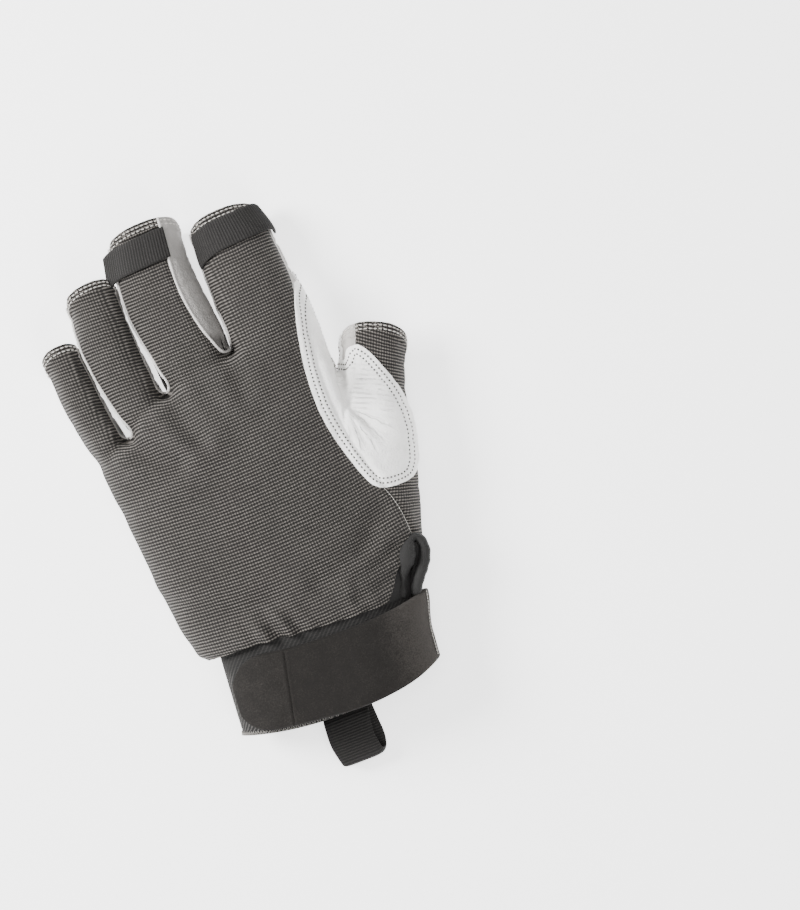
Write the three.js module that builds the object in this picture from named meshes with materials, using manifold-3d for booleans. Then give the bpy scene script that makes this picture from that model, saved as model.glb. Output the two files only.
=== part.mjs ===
// A fingerless climbing glove for the left hand, lying palm down.
// Millimetres. +X is the thumb side, +Y points to the fingers and +Z is the back of the hand.
import * as THREE from 'three';
import { mergeVertices } from 'three/addons/utils/BufferGeometryUtils.js';
import Module from 'manifold-3d';

const wasm = await Module();
wasm.setup();

// Driving sizes of the hand
const knuckleWidth = 100;
const palmLength = 108;
const palmHeight = 36;
const hemLine = 31;
const fingerLength = 60;
const fingerWidth = 30;
const fingerHeight = 24;
const fingerSink = 22;
const thumbLength = 72;
const thumbWidth = 24;
const thumbHeight = 24;
const thumbReach = 37;
const thumbRootShare = 0.27;
const thumbLean = 24;
const thumbSkew = -0.12;
const mouthTilt = 27;

// Thicknesses and clearances
const shellWall = 1.6;
const seamGap = 0.4;
const patchThickness = 1.2;
const tabThickness = 1.2;
const strapThickness = 2.6;
const cuffWall = 2;
const webbingThickness = 1.4;

// Cuff, strap and webbing sizes
const cuffWidth = 80;
const cuffHeight = 31;
const cuffTuck = 5;
const cuffBottom = 1;
const cuffBow = 5.5;
const strapWidth = 27;
const strapTopGap = 2.5;
const strapSkew = -0.06;
const strapOverhang = 2;
const strapEnd = -37.5;
const strapSideHeight = 9;
const strapEndHeightShare = 0.55;
const tabWidth = 12;
const tabDepth = 11;
const tabStand = 1.5;
const loopWidth = 19;
const loopCentre = 0.5;
const loopReach = 21;
const loopRise = 9;
const loopFlat = 6;
const loopTuck = 14;
const restGap = 0.05;
const gussetLength = 20;
const gussetWidth = 13;
const gussetHeight = 20;
const gussetWall = 3;
const gussetFloor = 8;
const notchLip = 3;
const notchShoulder = 2;

// Seams
const backSeamHeight = 11;
const thumbSeamHeight = 9;
const fourchetteHeight = 6;
const thumbStripWidth = 8;
const patchEdgeRise = 3;

// Mesh fineness
const handSides = 32;
const fingerSides = 24;
const cuffSides = 36;

// Shape of every oval section: a flat rest below, square-ish shoulders and a domed top
const waistShare = 0.42;
const bellyShare = 1.35;
const shoulderPower = 0.82;
const domePower = 0.9;

const far = 400;
const radians = THREE.MathUtils.degToRad;

// Rows along the palm, as shares of palmLength, knuckleWidth and palmHeight.
// skew turns a row's line across the hand: rise towards the fingers for each step to the thumb side.
const palmRows = [
  { along: 0.0, centre: 0.04, half: null, height: null, skew: -0.075 },
  { along: 0.09, centre: 0.02, half: 0.465, height: 1.0, skew: -0.06 },
  { along: 0.28, centre: 0.01, half: 0.488, height: 1.0, skew: 0 },
  { along: 0.5, centre: 0.0, half: 0.492, height: 1.0, skew: 0 },
  { along: 0.72, centre: -0.012, half: 0.498, height: 0.95, skew: 0.08 },
  { along: 0.88, centre: -0.02, half: 0.497, height: 0.83, skew: 0.18 },
  { along: 0.97, centre: -0.025, half: 0.485, height: 0.73, skew: 0.26 },
  { along: 1.0, centre: -0.025, half: 0.478, height: 0.62, skew: 0.28 },
];

// Fingers: root centre as a share of knuckleWidth, lean in degrees to the thumb side,
// and shares of fingerLength, fingerWidth and fingerHeight. left and right are the edges
// of the fabric as shares of the half width, and the leather shows beyond them.
// The rows go from the little finger to the index finger.
const fingerRows = [
  { root: -0.441, lean: -3.6, length: 0.68, width: 0.545, height: 0.9, left: -1.3, right: 0.7 },
  { root: -0.266, lean: -2.6, length: 0.93, width: 0.62, height: 0.98, left: -0.82, right: 0.72 },
  { root: -0.018, lean: -0.6, length: 1.03, width: 0.96, height: 1.0, left: -0.86, right: 0.62 },
  { root: 0.306, lean: 0.4, length: 0.76, width: 1.03, height: 1.0, left: -0.84, right: 0.93 },
];

// Sections along each finger, as shares of its own length, width and height
const fingerSections = [
  { along: null, half: 0.9, height: 0.9 },
  { along: 0.0, half: 0.99, height: 1.0 },
  { along: 0.3, half: 1.0, height: 0.97 },
  { along: 0.62, half: 1.0, height: 0.88 },
  { along: 0.85, half: 0.95, height: 0.78 },
  { along: 1.0, half: 0.86, height: 0.72 },
];

// Sections along the thumb, as shares of thumbLength, thumbWidth and thumbHeight
const thumbSections = [
  { along: -0.28, half: 0.62, height: 0.85 },
  { along: 0.0, half: 0.8, height: 1.2 },
  { along: 0.36, half: 0.7, height: 1.14 },
  { along: 0.62, half: 0.54, height: 1.04 },
  { along: 0.85, half: 0.48, height: 0.95 },
  { along: 1.0, half: 0.47, height: 0.88 },
];

// The leather patch in plan: which part it is measured on, then shares along and across it
const patchOutline = [
  { on: 'index', along: 0.26, across: 0.99 },
  { on: 'index', along: 0.0, across: 0.84 },
  { on: 'palm', along: 0.87, across: 0.8 },
  { on: 'palm', along: 0.72, across: 0.74 },
  { on: 'palm', along: 0.6, across: 0.76 },
  { on: 'palm', along: 0.5, across: 0.82 },
  { on: 'palm', along: 0.4, across: 0.89 },
  { on: 'palm', along: 0.36, across: 0.96 },
  { on: 'thumb', along: 0.23, across: 0.83 },
  { on: 'thumb', along: 0.42, across: 0.83 },
  { on: 'thumb', along: 0.62, across: 0.74 },
  { on: 'thumb', along: 0.8, across: 0.44 },
  { on: 'thumb', along: 0.92, across: 0.0 },
  { on: 'thumb', along: 0.92, across: -0.45 },
  { on: 'thumb', along: 0.85, across: -1.3 },
  { on: 'palm', along: 0.86, across: 1.16 },
  { on: 'index', along: 0.1, across: 1.35 },
  { on: 'index', along: 0.26, across: 1.3 },
];

// Plan helpers: a direction from a lean, and a point beside an axis
function heading(lean) {
  return new THREE.Vector2(Math.sin(radians(lean)), Math.cos(radians(lean)));
}

function sideways(lean) {
  return new THREE.Vector2(Math.cos(radians(lean)), -Math.sin(radians(lean)));
}

const cuffTopZ = shellWall + seamGap + cuffHeight;

// Stations of each part: a centre, a lean, a half width, a height, a skew and a tilt
function palmStations() {
  return palmRows.map((row) => ({
    share: row.along,
    x: row.centre * knuckleWidth,
    y: hemLine + row.along * palmLength,
    lean: 0,
    half: row.half === null ? cuffWidth / 2 + seamGap + shellWall : row.half * knuckleWidth,
    high: row.height === null ? cuffTopZ + seamGap + shellWall : row.height * palmHeight,
    skew: row.skew,
    tilt: 0,
  }));
}

function palmEndAt(x) {
  const end = palmStations().at(-1);
  return end.y + end.skew * (x - end.x);
}

function fingerStations(finger) {
  const length = finger.length * fingerLength;
  const rootX = finger.root * knuckleWidth;
  const rootY = palmEndAt(rootX);
  return fingerSections.map((section) => {
    const along = section.along === null ? -fingerSink : section.along * length;
    const ahead = heading(finger.lean).multiplyScalar(along);
    return {
      share: section.along ?? -1,
      x: rootX + ahead.x,
      y: rootY + ahead.y,
      lean: finger.lean,
      half: section.half * finger.width * fingerWidth / 2,
      high: section.height * finger.height * fingerHeight,
      skew: 0,
      tilt: mouthTilt * Math.max(0, section.along ?? 0),
    };
  });
}

function thumbStations() {
  const root = new THREE.Vector2(thumbReach, hemLine + thumbRootShare * palmLength);
  return thumbSections.map((section) => {
    const ahead = heading(thumbLean).multiplyScalar(section.along * thumbLength);
    return {
      share: section.along,
      x: root.x + ahead.x,
      y: root.y + ahead.y,
      lean: thumbLean,
      half: section.half * thumbWidth,
      high: section.height * thumbHeight,
      skew: thumbSkew * Math.max(0, section.along),
      tilt: mouthTilt * Math.max(0, section.along),
    };
  });
}

const palm = palmStations();
const fingers = fingerRows.map((row) => ({ ...row, stations: fingerStations(row) }));
const thumb = thumbStations();

// A point on a station's oval. inset pulls the oval inwards; a negative one grows it.
function ovalPoint(station, angle, radius, inset) {
  const half = station.half - inset;
  const low = (station.low ?? 0) + inset;
  const high = station.high - inset;
  const waist = low + (high - low) * waistShare;
  const cos = Math.cos(angle);
  const sin = Math.sin(angle);
  const across = half * Math.sign(cos) * Math.abs(cos) ** shoulderPower * radius;
  const rise = Math.sign(sin) * Math.abs(sin) ** domePower * radius;
  const up = rise > 0
    ? waist + (high - waist) * rise
    : Math.max(low, waist + (waist - low) * bellyShare * rise);
  const bow = (station.bow ?? 0) * (1 - (across / station.half) ** 2);
  const slant = Math.tan(radians(station.tilt)) * (station.high - up);
  const along = station.skew * across - slant - bow;
  const side = sideways(station.lean);
  const ahead = heading(station.lean);
  return new THREE.Vector3(
    station.x + side.x * across + ahead.x * along,
    station.y + side.y * across + ahead.y * along,
    up,
  );
}

// A closed tube through stations, made by bending a capped cylinder onto them
function loft(stations, sides, inset) {
  const rows = stations.length - 1;
  const tube = new THREE.CylinderGeometry(1, 1, 1, sides, rows, false);
  const place = tube.getAttribute('position');
  for (let i = 0; i < place.count; i += 1) {
    const row = Math.round((place.getY(i) + 0.5) * rows);
    const radius = Math.round(Math.hypot(place.getX(i), place.getZ(i)));
    const angle = Math.atan2(place.getX(i), place.getZ(i));
    const point = ovalPoint(stations[row], radius ? angle : 0, radius, inset);
    place.setXYZ(i, point.x, point.y, point.z);
  }
  return solidOf(tube);
}

// Joins and cuts work on solids; a geometry becomes one with its shared corners merged
function solidOf(geometry) {
  geometry.deleteAttribute('normal');
  geometry.deleteAttribute('uv');
  const merged = mergeVertices(geometry, 1e-4);
  const solid = new wasm.Manifold(new wasm.Mesh({
    numProp: 3,
    vertProperties: new Float32Array(merged.getAttribute('position').array),
    triVerts: new Uint32Array(merged.getIndex().array),
  }));
  return solid.volume() < 0 ? solidOf(flipped(merged)) : solid;
}

function flipped(geometry) {
  const corners = geometry.getIndex().array;
  for (let i = 0; i < corners.length; i += 3) {
    [corners[i], corners[i + 1]] = [corners[i + 1], corners[i]];
  }
  return geometry;
}

function joined(solids) {
  return solids.reduce((all, solid) => all.add(solid));
}

// Moves a station along its own axis
function moved(station, distance) {
  const ahead = heading(station.lean).multiplyScalar(distance);
  return { ...station, x: station.x + ahead.x, y: station.y + ahead.y };
}

// Stations with the first and last pushed along the axis
function stretched(stations, atStart, atEnd) {
  const rows = stations.map((station) => ({ ...station }));
  rows[0] = moved(rows[0], -atStart);
  rows[rows.length - 1] = moved(rows.at(-1), atEnd);
  return rows;
}

// The whole hand as one body. The open ends reach past the outer one where it hollows it.
function hand(inset, openEnds) {
  const reach = openEnds ? shellWall * 3 : 0;
  const parts = [loft(stretched(palm, reach, -inset), handSides, inset)];
  for (const finger of fingers) {
    parts.push(loft(stretched(finger.stations, -inset, reach), fingerSides, inset));
  }
  parts.push(loft(stretched(thumb, -inset, reach), fingerSides, inset));
  return joined(parts);
}

// An upright prism over a plan outline
function prism(points, low, high) {
  const outline = new THREE.Shape(points.map((p) => new THREE.Vector2(p.x, p.y)));
  const body = new THREE.ExtrudeGeometry(outline, { depth: high - low, bevelEnabled: false });
  body.translate(0, 0, low);
  return solidOf(body);
}

// A plan point at a share along a run of stations and a share of the half width there
function planPoint(stations, share, across, grow = 0) {
  const found = stations.findIndex((station) => station.share > share);
  const row = Math.max(1, found < 0 ? stations.length - 1 : found);
  const before = stations[row - 1];
  const after = stations[row];
  const t = (share - before.share) / (after.share - before.share);
  const between = (key) => THREE.MathUtils.lerp(before[key], after[key], t);
  const offset = between('half') * across + grow;
  const side = sideways(after.lean).multiplyScalar(offset);
  const ahead = heading(after.lean).multiplyScalar(between('skew') * offset);
  return new THREE.Vector2(between('x') + side.x + ahead.x, between('y') + side.y + ahead.y);
}

// How far a region runs past a fingertip, as a share of the finger's length
const pastTip = 1.3;

// A strip in plan along a finger between two shares of its half width, from the palm to past the tip
function fingerStrip(finger, left, right, rootShare, grow) {
  const shares = [rootShare, 0.3, 0.85, pastTip];
  const up = shares.map((share) => planPoint(finger.stations, share, right, grow));
  const down = shares.map((share) => planPoint(finger.stations, share, left, -grow)).reverse();
  return [...up, ...down];
}

// Where the fabric of the back ends at the thumb side, from the hem up to the index finger
const backEdge = [
  { along: -0.1, across: 1.03 },
  { along: 0.12, across: 1.03 },
  { along: 0.33, across: 1.0 },
  { along: 0.5, across: 0.92 },
  { along: 0.72, across: 0.86 },
  { along: 0.9, across: 0.92 },
];

// The region of the back fabric: the palm up to its edge and a strip on each finger
function backRegion(grow) {
  const low = backSeamHeight - grow;
  const edge = backEdge.map((row) => planPoint(palm, row.along, row.across, grow));
  const ahead = new THREE.Vector2(0, grow);
  const top = [...fingers].reverse().map((finger) => planPoint(finger.stations, -0.05, 0).add(ahead));
  const left = new THREE.Vector2(-far, top.at(-1).y);
  const corner = new THREE.Vector2(-far, edge[0].y);
  const parts = [prism([...edge, ...top, left, corner], low, far)];
  for (const finger of fingers) {
    const strip = fingerStrip(finger, finger.left, finger.right, -0.3, grow);
    parts.push(prism(strip, low, far));
  }
  return joined(parts);
}

// The region of the thumb's fabric: above its seam, and a strip round its outer side
function thumbRegion(grow) {
  const shares = [-0.9, 0, 0.36, 0.62, 0.85, pastTip];
  const outside = far / 2;
  const inner = shares.map((share) => planPoint(thumb, share, 1, -thumbStripWidth - grow));
  const outer = shares.map((share) => planPoint(thumb, share, 1, outside)).reverse();
  const strip = prism([...inner, ...outer], -far, far);
  const side = backEdge.slice(0, -1).map(
    (row) => planPoint(palm, row.along, row.across, -grow - thumbStripWidth));
  const tip = planPoint(thumb, 1.4, -1.4, -grow);
  const crotch = planPoint(palm, 0.8, 1, 1 - grow);
  const beyond = new THREE.Vector2(far, tip.y);
  const corner = new THREE.Vector2(far, side[0].y);
  const above = prism([...side, crotch, tip, beyond, corner], thumbSeamHeight - grow, far);
  return strip.add(above);
}

// The region between two neighbouring fingers, above the leather of the palm
function fourchetteRegion(first, second, grow) {
  const shares = [-0.12, 0.5, pastTip];
  const inside = 0.35;
  const left = shares.map((share) => planPoint(first.stations, share, inside, -grow));
  const right = shares.map((share) => planPoint(second.stations, share, -inside, grow)).reverse();
  left[0].y -= grow;
  right.at(-1).y -= grow;
  return prism([...left, ...right], fourchetteHeight - grow, far);
}

const handShell = hand(0, false).subtract(hand(shellWall, true)).subtract(notchRegion(0));

// Layers over the hand, for what is sewn onto it
function handLayer(from, thickness) {
  return hand(-from - thickness, true).subtract(hand(-from, true));
}

function backPanel() {
  return handShell.intersect(backRegion(0));
}

function thumbPanel() {
  return handShell.intersect(thumbRegion(0)).subtract(backRegion(seamGap));
}

function fourchette(index) {
  const region = fourchetteRegion(fingers[index], fingers[index + 1], 0);
  return handShell.intersect(region).subtract(backRegion(seamGap));
}

function palmPanel() {
  let leather = handShell.subtract(backRegion(seamGap)).subtract(thumbRegion(seamGap));
  for (let i = 0; i < fingers.length - 1; i += 1) {
    leather = leather.subtract(fourchetteRegion(fingers[i], fingers[i + 1], seamGap));
  }
  return leather;
}

const partsByName = {
  palm,
  thumb,
  index: fingers.at(-1).stations,
};

function crotchPatch() {
  const corners = patchOutline.map((row) => planPoint(partsByName[row.on], row.along, row.across));
  const curve = new THREE.CatmullRomCurve3(
    corners.map((p) => new THREE.Vector3(p.x, p.y, 0)), true, 'centripetal');
  const pointsPerCorner = 2;
  const outline = curve.getPoints(corners.length * pointsPerCorner).slice(0, -1);
  return handLayer(seamGap, patchThickness)
    .intersect(prism(outline, thumbSeamHeight + patchEdgeRise, far));
}

// A pull tab: webbing arched over a finger's back, its ends at the side seams
function pullTab(finger, overhang) {
  const tipY = finger.length * fingerLength;
  const endShare = 1 - (tabDepth - tabWidth / 2) / tipY;
  const startShare = endShare - tabWidth / tipY;
  const reach = 1.25;
  const outline = [
    planPoint(finger.stations, startShare, reach),
    planPoint(finger.stations, endShare, reach),
    planPoint(finger.stations, endShare, -reach),
    planPoint(finger.stations, startShare, -reach),
  ];
  const widened = stretched(finger.stations, 0, shellWall).map(
    (station) => ({ ...station, half: station.half + overhang }));
  const grown = (extra) => loft(widened, fingerSides, -extra);
  const layer = grown(seamGap + tabThickness).subtract(grown(seamGap));
  return layer.intersect(prism(outline, backSeamHeight, far)).subtract(hand(-seamGap, true));
}

// Rows up the cuff: y, shares of cuffWidth, cuffHeight and cuffBow, and the row's skew
const cuffRows = [
  { y: cuffBottom, centre: 0, height: 0.95, bow: 1, skew: -0.03 },
  { y: hemLine / 2, centre: 0.02, height: 1, bow: 0.33, skew: -0.05 },
  { y: hemLine + cuffTuck, centre: 0.05, height: 1, bow: 0, skew: -0.075 },
];

// The elastic cuff: its upper end is tucked inside the hand's hem
function cuffStations() {
  const bottom = shellWall + seamGap;
  return cuffRows.map((row) => ({
    x: row.centre * cuffWidth,
    y: row.y,
    lean: 0,
    half: cuffWidth / 2,
    low: bottom,
    high: bottom + row.height * cuffHeight,
    skew: row.skew,
    tilt: 0,
    bow: row.bow * cuffBow,
  }));
}

function cuffBand() {
  const outer = loft(cuffStations(), cuffSides, 0);
  const inner = loft(stretched(cuffStations(), cuffWall * 2, cuffWall), cuffSides, cuffWall);
  return outer.subtract(inner);
}

// The strap over the cuff's back, with a rounded end at the little finger's side
function closureStrap() {
  const stations = cuffStations();
  const layer = loft(stretched(stations, strapWidth, 0), cuffSides, -seamGap - strapThickness)
    .subtract(loft(stretched(stations, strapWidth, 1), cuffSides, -seamGap));
  const topY = hemLine - strapTopGap;
  const radius = strapWidth / 2;
  const roundX = strapEnd + radius;
  const roundY = topY - radius - strapSkew * radius;
  const lowY = topY - strapWidth;
  const outline = new THREE.Shape();
  outline.moveTo(cuffWidth, topY + strapSkew * cuffWidth);
  outline.lineTo(roundX, topY - strapSkew * radius);
  outline.absarc(roundX, roundY, radius, Math.PI / 2, Math.PI * 1.4, false);
  outline.quadraticCurveTo(0, lowY - cuffBow, cuffWidth * 0.52, lowY - strapOverhang);
  outline.lineTo(cuffWidth, lowY - strapOverhang);
  const freeSide = prism([
    new THREE.Vector2(-far, -far),
    new THREE.Vector2(0, -far),
    new THREE.Vector2(0, far),
    new THREE.Vector2(-far, far),
  ], -far, cuffTopZ * strapEndHeightShare);
  return layer.intersect(prism(outline.getPoints(8), strapSideHeight, far)).subtract(freeSide);
}

// A band of webbing: a path in the YZ plane, thickened and given its width
function webbing(path, thickness, width, centreX) {
  const count = 28;
  const curve = new THREE.CatmullRomCurve3(path.map(([y, z]) => new THREE.Vector3(0, y, z)));
  const points = curve.getSpacedPoints(count);
  const offset = (sign) => points.map((p, i) => {
    const tangent = curve.getTangentAt(i / count);
    return new THREE.Vector2(
      p.y - sign * tangent.z * thickness / 2,
      p.z + sign * tangent.y * thickness / 2);
  });
  const band = new THREE.Shape([...offset(1), ...offset(-1).reverse()]);
  const body = new THREE.ExtrudeGeometry(band, { depth: width, bevelEnabled: false });
  body.rotateY(Math.PI / 2);
  body.rotateX(Math.PI / 2);
  body.translate(centreX - width / 2, 0, 0);
  return solidOf(body);
}

// The pull loop: sewn under the cuff, out past its edge, up and back inside the cuff
function wristPullLoop() {
  const edge = cuffBottom - cuffBow;
  const under = webbingThickness / 2 + restGap;
  const inside = shellWall + seamGap + cuffWall + seamGap + webbingThickness / 2;
  const out = (share) => edge - share * loopReach;
  const up = (share) => under + share * (loopRise - under);
  return webbing([
    [hemLine - cuffTuck, under],
    [edge + loopFlat, under],
    [out(0.1), under],
    [out(0.71), up(0.04)],
    [out(0.95), up(0.17)],
    [out(1), up(0.53)],
    [out(0.88), up(1)],
    [out(0.24), up(0.95)],
    [edge, inside + seamGap],
    [edge + loopFlat, inside + restGap],
    [edge + loopTuck, inside],
  ], webbingThickness, loopWidth, loopCentre);
}

// The corner left open at the wrist's thumb side, where the gusset shows
function notchRegion(grow) {
  const corner = planPoint(palm, 0, 1);
  const inner = corner.x - gussetWidth - grow * 2;
  return prism([
    new THREE.Vector2(inner, hemLine - cuffTuck * 2),
    new THREE.Vector2(far, hemLine - cuffTuck * 2),
    new THREE.Vector2(far, corner.y + gussetLength + grow),
    new THREE.Vector2(corner.x + notchLip, corner.y + gussetLength + grow),
    new THREE.Vector2(corner.x - notchShoulder - grow, corner.y + gussetLength * 0.75),
  ], gussetFloor - grow, far);
}

// The gusset: a soft band folded on itself like a hairpin, in the open corner
function wristGusset() {
  const corner = planPoint(palm, 0, 1);
  const foldRows = [
    { across: -0.42, along: -0.02 },
    { across: -0.24, along: 0.36 },
    { across: -0.02, along: 0.7 },
    { across: 0.24, along: 0.93 },
    { across: 0.48, along: 0.84 },
    { across: 0.53, along: 0.6 },
    { across: 0.4, along: 0.3 },
    { across: 0.2, along: 0.04 },
  ];
  const fold = new THREE.CatmullRomCurve3(foldRows.map((row) => new THREE.Vector3(
    corner.x + row.across * gussetWidth, corner.y + row.along * gussetLength, 0)));
  const count = 24;
  const points = fold.getSpacedPoints(count);
  const offset = (sign) => points.map((p, i) => {
    const tangent = fold.getTangentAt(i / count);
    return new THREE.Vector2(
      p.x - sign * tangent.y * gussetWall / 2,
      p.y + sign * tangent.x * gussetWall / 2);
  });
  const top = gussetFloor + gussetHeight;
  return prism([...offset(1), ...offset(-1).reverse()], gussetFloor, top)
    .intersect(notchRegion(-seamGap))
    .subtract(cuffSpace(seamGap));
}

// The room that the cuff takes, grown all round
function cuffSpace(grow) {
  return loft(stretched(cuffStations(), strapWidth, grow), cuffSides, -grow);
}

// Colours and finishes
const cloth = { color: 0x45423e, roughness: 0.9, metalness: 0 };
const leather = { color: 0xd2cfca, roughness: 0.75, metalness: 0 };
const elastic = { color: 0x2e2d2c, roughness: 0.9, metalness: 0 };
const felt = { color: 0x363433, roughness: 1, metalness: 0 };
const grosgrain = { color: 0x2f2e2c, roughness: 0.85, metalness: 0 };

function meshOf(name, solid, finish) {
  const got = solid.getMesh();
  const geometry = new THREE.BufferGeometry();
  geometry.setAttribute('position', new THREE.BufferAttribute(got.vertProperties, 3));
  geometry.setIndex(new THREE.BufferAttribute(got.triVerts, 1));
  const mesh = new THREE.Mesh(geometry, new THREE.MeshStandardMaterial(finish));
  mesh.name = name;
  return mesh;
}

const glove = new THREE.Group();
glove.name = 'climbing_glove';
glove.add(
  meshOf('back_panel', backPanel(), cloth),
  meshOf('thumb_panel', thumbPanel(), cloth),
  meshOf('palm_panel', palmPanel(), leather),
  meshOf('fourchette_ring_little', fourchette(0), leather),
  meshOf('fourchette_middle_ring', fourchette(1), leather),
  meshOf('fourchette_index_middle', fourchette(2), leather),
  meshOf('crotch_patch', crotchPatch(), leather),
  meshOf('cuff_band', cuffBand(), elastic),
  meshOf('closure_strap', closureStrap(), felt),
  meshOf('wrist_gusset', wristGusset(), elastic),
  meshOf('wrist_pull_loop', wristPullLoop(), grosgrain),
  meshOf('index_pull_tab', pullTab(fingers[3], 0), grosgrain),
  meshOf('middle_pull_tab', pullTab(fingers[2], tabStand), grosgrain),
);

// The origin sits under the middle of the glove, on the surface it lies on
const box = new THREE.Box3().setFromObject(glove);
const middle = box.getCenter(new THREE.Vector3());
glove.position.set(-middle.x, -middle.y, -box.min.z);

export default glove;
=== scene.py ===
"""A fingerless climbing glove for the left hand, lying palm down: its looks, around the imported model."""

import math

import bmesh
import bpy
import numpy as np
from mathutils import Matrix, Vector


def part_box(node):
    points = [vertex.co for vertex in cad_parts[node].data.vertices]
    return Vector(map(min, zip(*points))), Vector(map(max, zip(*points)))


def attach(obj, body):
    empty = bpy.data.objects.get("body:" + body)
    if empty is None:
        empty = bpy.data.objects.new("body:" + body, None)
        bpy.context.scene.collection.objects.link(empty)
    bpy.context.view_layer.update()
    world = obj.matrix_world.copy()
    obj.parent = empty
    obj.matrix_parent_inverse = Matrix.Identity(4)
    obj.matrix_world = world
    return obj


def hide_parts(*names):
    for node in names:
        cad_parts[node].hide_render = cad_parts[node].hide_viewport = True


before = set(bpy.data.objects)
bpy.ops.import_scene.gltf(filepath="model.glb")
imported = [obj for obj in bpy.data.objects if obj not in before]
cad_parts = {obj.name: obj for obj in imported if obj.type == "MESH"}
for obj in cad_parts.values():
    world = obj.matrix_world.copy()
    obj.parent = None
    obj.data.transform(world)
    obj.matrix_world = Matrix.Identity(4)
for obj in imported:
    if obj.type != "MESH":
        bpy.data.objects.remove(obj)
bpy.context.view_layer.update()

# Lengths below are in millimetres, in the hand's own frame: +X thumb side, +Y fingertips, +Z up.
MM = 0.001

# The hand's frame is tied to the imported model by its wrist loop
LOOP_CENTRE_X = 0.5
LOOP_TIP_Y = -26.13
loop_low, loop_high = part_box("wrist_pull_loop")
ORIGIN = np.array([
    (loop_low[0] + loop_high[0]) / 2 / MM - LOOP_CENTRE_X,
    loop_low[1] / MM - LOOP_TIP_Y,
    0.0,
])

# Section shape, as in the solids: domed above its widest line, flattened below it
WAIST = 0.42
BELLY = 1.35
ACROSS_POWER = 2.44
RISE_POWER = 2.22
MEAN_POWER = 2.33
SHOULDER_POWER = 0.82
DOME_POWER = 0.9

WALL = 1.4
MOUTH_SLOPE = math.tan(math.radians(27))

# How softly forms run into each other: palm and web, body and fingers, section and floor
WEB_BLEND = 6
FINGER_BLEND = 3
FLOOR_BLEND = 1.2

# Stations: along the axis, offset of the middle, half width, height
PALM = {
    "origin": (0.0, 0.0), "lean": 0.0,
    "rows": [
        (14, 3.5, 40.0, 33.5),
        (26, 3.5, 41.6, 34.6),
        (31, 3.0, 43.0, 35.4),
        (36, 1.8, 45.4, 35.9),
        (43, 1.7, 46.9, 36.0),
        (56, 1.0, 48.3, 36.0),
        (76, 0.6, 49.2, 35.8),
        (101, -0.3, 50.0, 34.8),
        (117, -1.4, 50.0, 32.2),
        (130, -2.8, 49.6, 28.5),
        (145, -3.4, 49.0, 25.0),
    ],
}
FINGERS = {
    "little": {
        "origin": (-45.2, 127.0), "lean": -3.4, "tip": 42.4,
        "rows": [
            (-40, 8.0, 3.0, 9), (-12, 1.6, 6.0, 19), (0, -0.1, 7.6, 22.5), (12, -1.3, 7.7, 21.5),
            (24, -1.6, 7.6, 19.8), (36, -1.2, 7.5, 17.8), (50, -1.0, 7.4, 16.6),
        ],
    },
    "ring": {
        "origin": (-26.3, 131.0), "lean": -4.2, "tip": 56.4,
        "rows": [
            (-30, 0, 6.5, 20), (-12, 0, 8.2, 23), (0, -0.2, 9.6, 24.5), (10, -1.0, 10.1, 24.2),
            (21, -1.4, 10.5, 23.4), (35, -1.3, 10.6, 21.5), (50, 1.0, 9.9, 18.6), (60, 1.4, 9.3, 17.4),
            (70, 1.4, 9.0, 17.0),
        ],
    },
    "middle": {
        "origin": (-1.7, 138.0), "lean": 0.0, "tip": 63.2,
        "rows": [
            (-34, 0, 10.0, 20), (-14, 0, 12.6, 23.5), (0, 0.1, 14.6, 25.0), (10, 0.2, 15.2, 24.8),
            (20, -0.5, 15.3, 24.0), (33, -1.5, 15.2, 22.2), (46, -1.2, 14.8, 19.4), (58, 0.7, 13.9, 17.8),
            (72, 1.4, 13.2, 17.0),
        ],
    },
    "index": {
        "origin": (30.6, 142.0), "lean": 0.3, "tip": 52.3,
        "rows": [
            (-34, -1, 12.0, 20), (-14, -0.4, 15.0, 23.5), (0, 0.4, 16.6, 25.2), (16, 0.4, 16.1, 24.2),
            (30, 0.2, 15.4, 21.8), (40, -0.1, 14.8, 19.6), (50, -0.8, 12.9, 17.8), (62, -1.5, 11.6, 17.0),
        ],
    },
}
THUMB = {
    "origin": (37.0, 60.2), "lean": 24.0, "tip": 77.5,
    "rows": [
        (-26, 5, 9, 22), (-10, 2.4, 18.0, 28.0), (0, 0.6, 20.0, 29.0), (18, 0.3, 19.0, 28.6),
        (32, 0.9, 17.4, 27.6), (41, 0.2, 16.0, 26.4), (49, 0.0, 13.9, 25.2), (58, 0.3, 12.8, 24.0),
        (68, 0.9, 12.3, 22.2), (84, 0.9, 11.6, 20.6),
    ],
}
# Height of each part at its mouth, which leans back from its lower rim
MOUTH_TOPS = {"little": 17.2, "ring": 17.8, "middle": 17.6, "index": 17.8, "thumb": 21.6}

# The front edge of the palm, where the fingers part: x, y
WEB_LINE = [
    (-70, 117.5), (-45, 122), (-36.3, 125), (-26, 131.5), (-16, 135.5), (0, 138.5), (12.5, 139.6),
    (30, 141), (60, 141),
]

# Where the hand's hem lies over the cuff: x, y
HEM_LINE = [
    (-60, 36.0), (-42, 33.6), (-35, 33.4), (-23.9, 33.2), (-4, 30.9), (16, 28.7), (35, 27.6), (60, 26),
]

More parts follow.
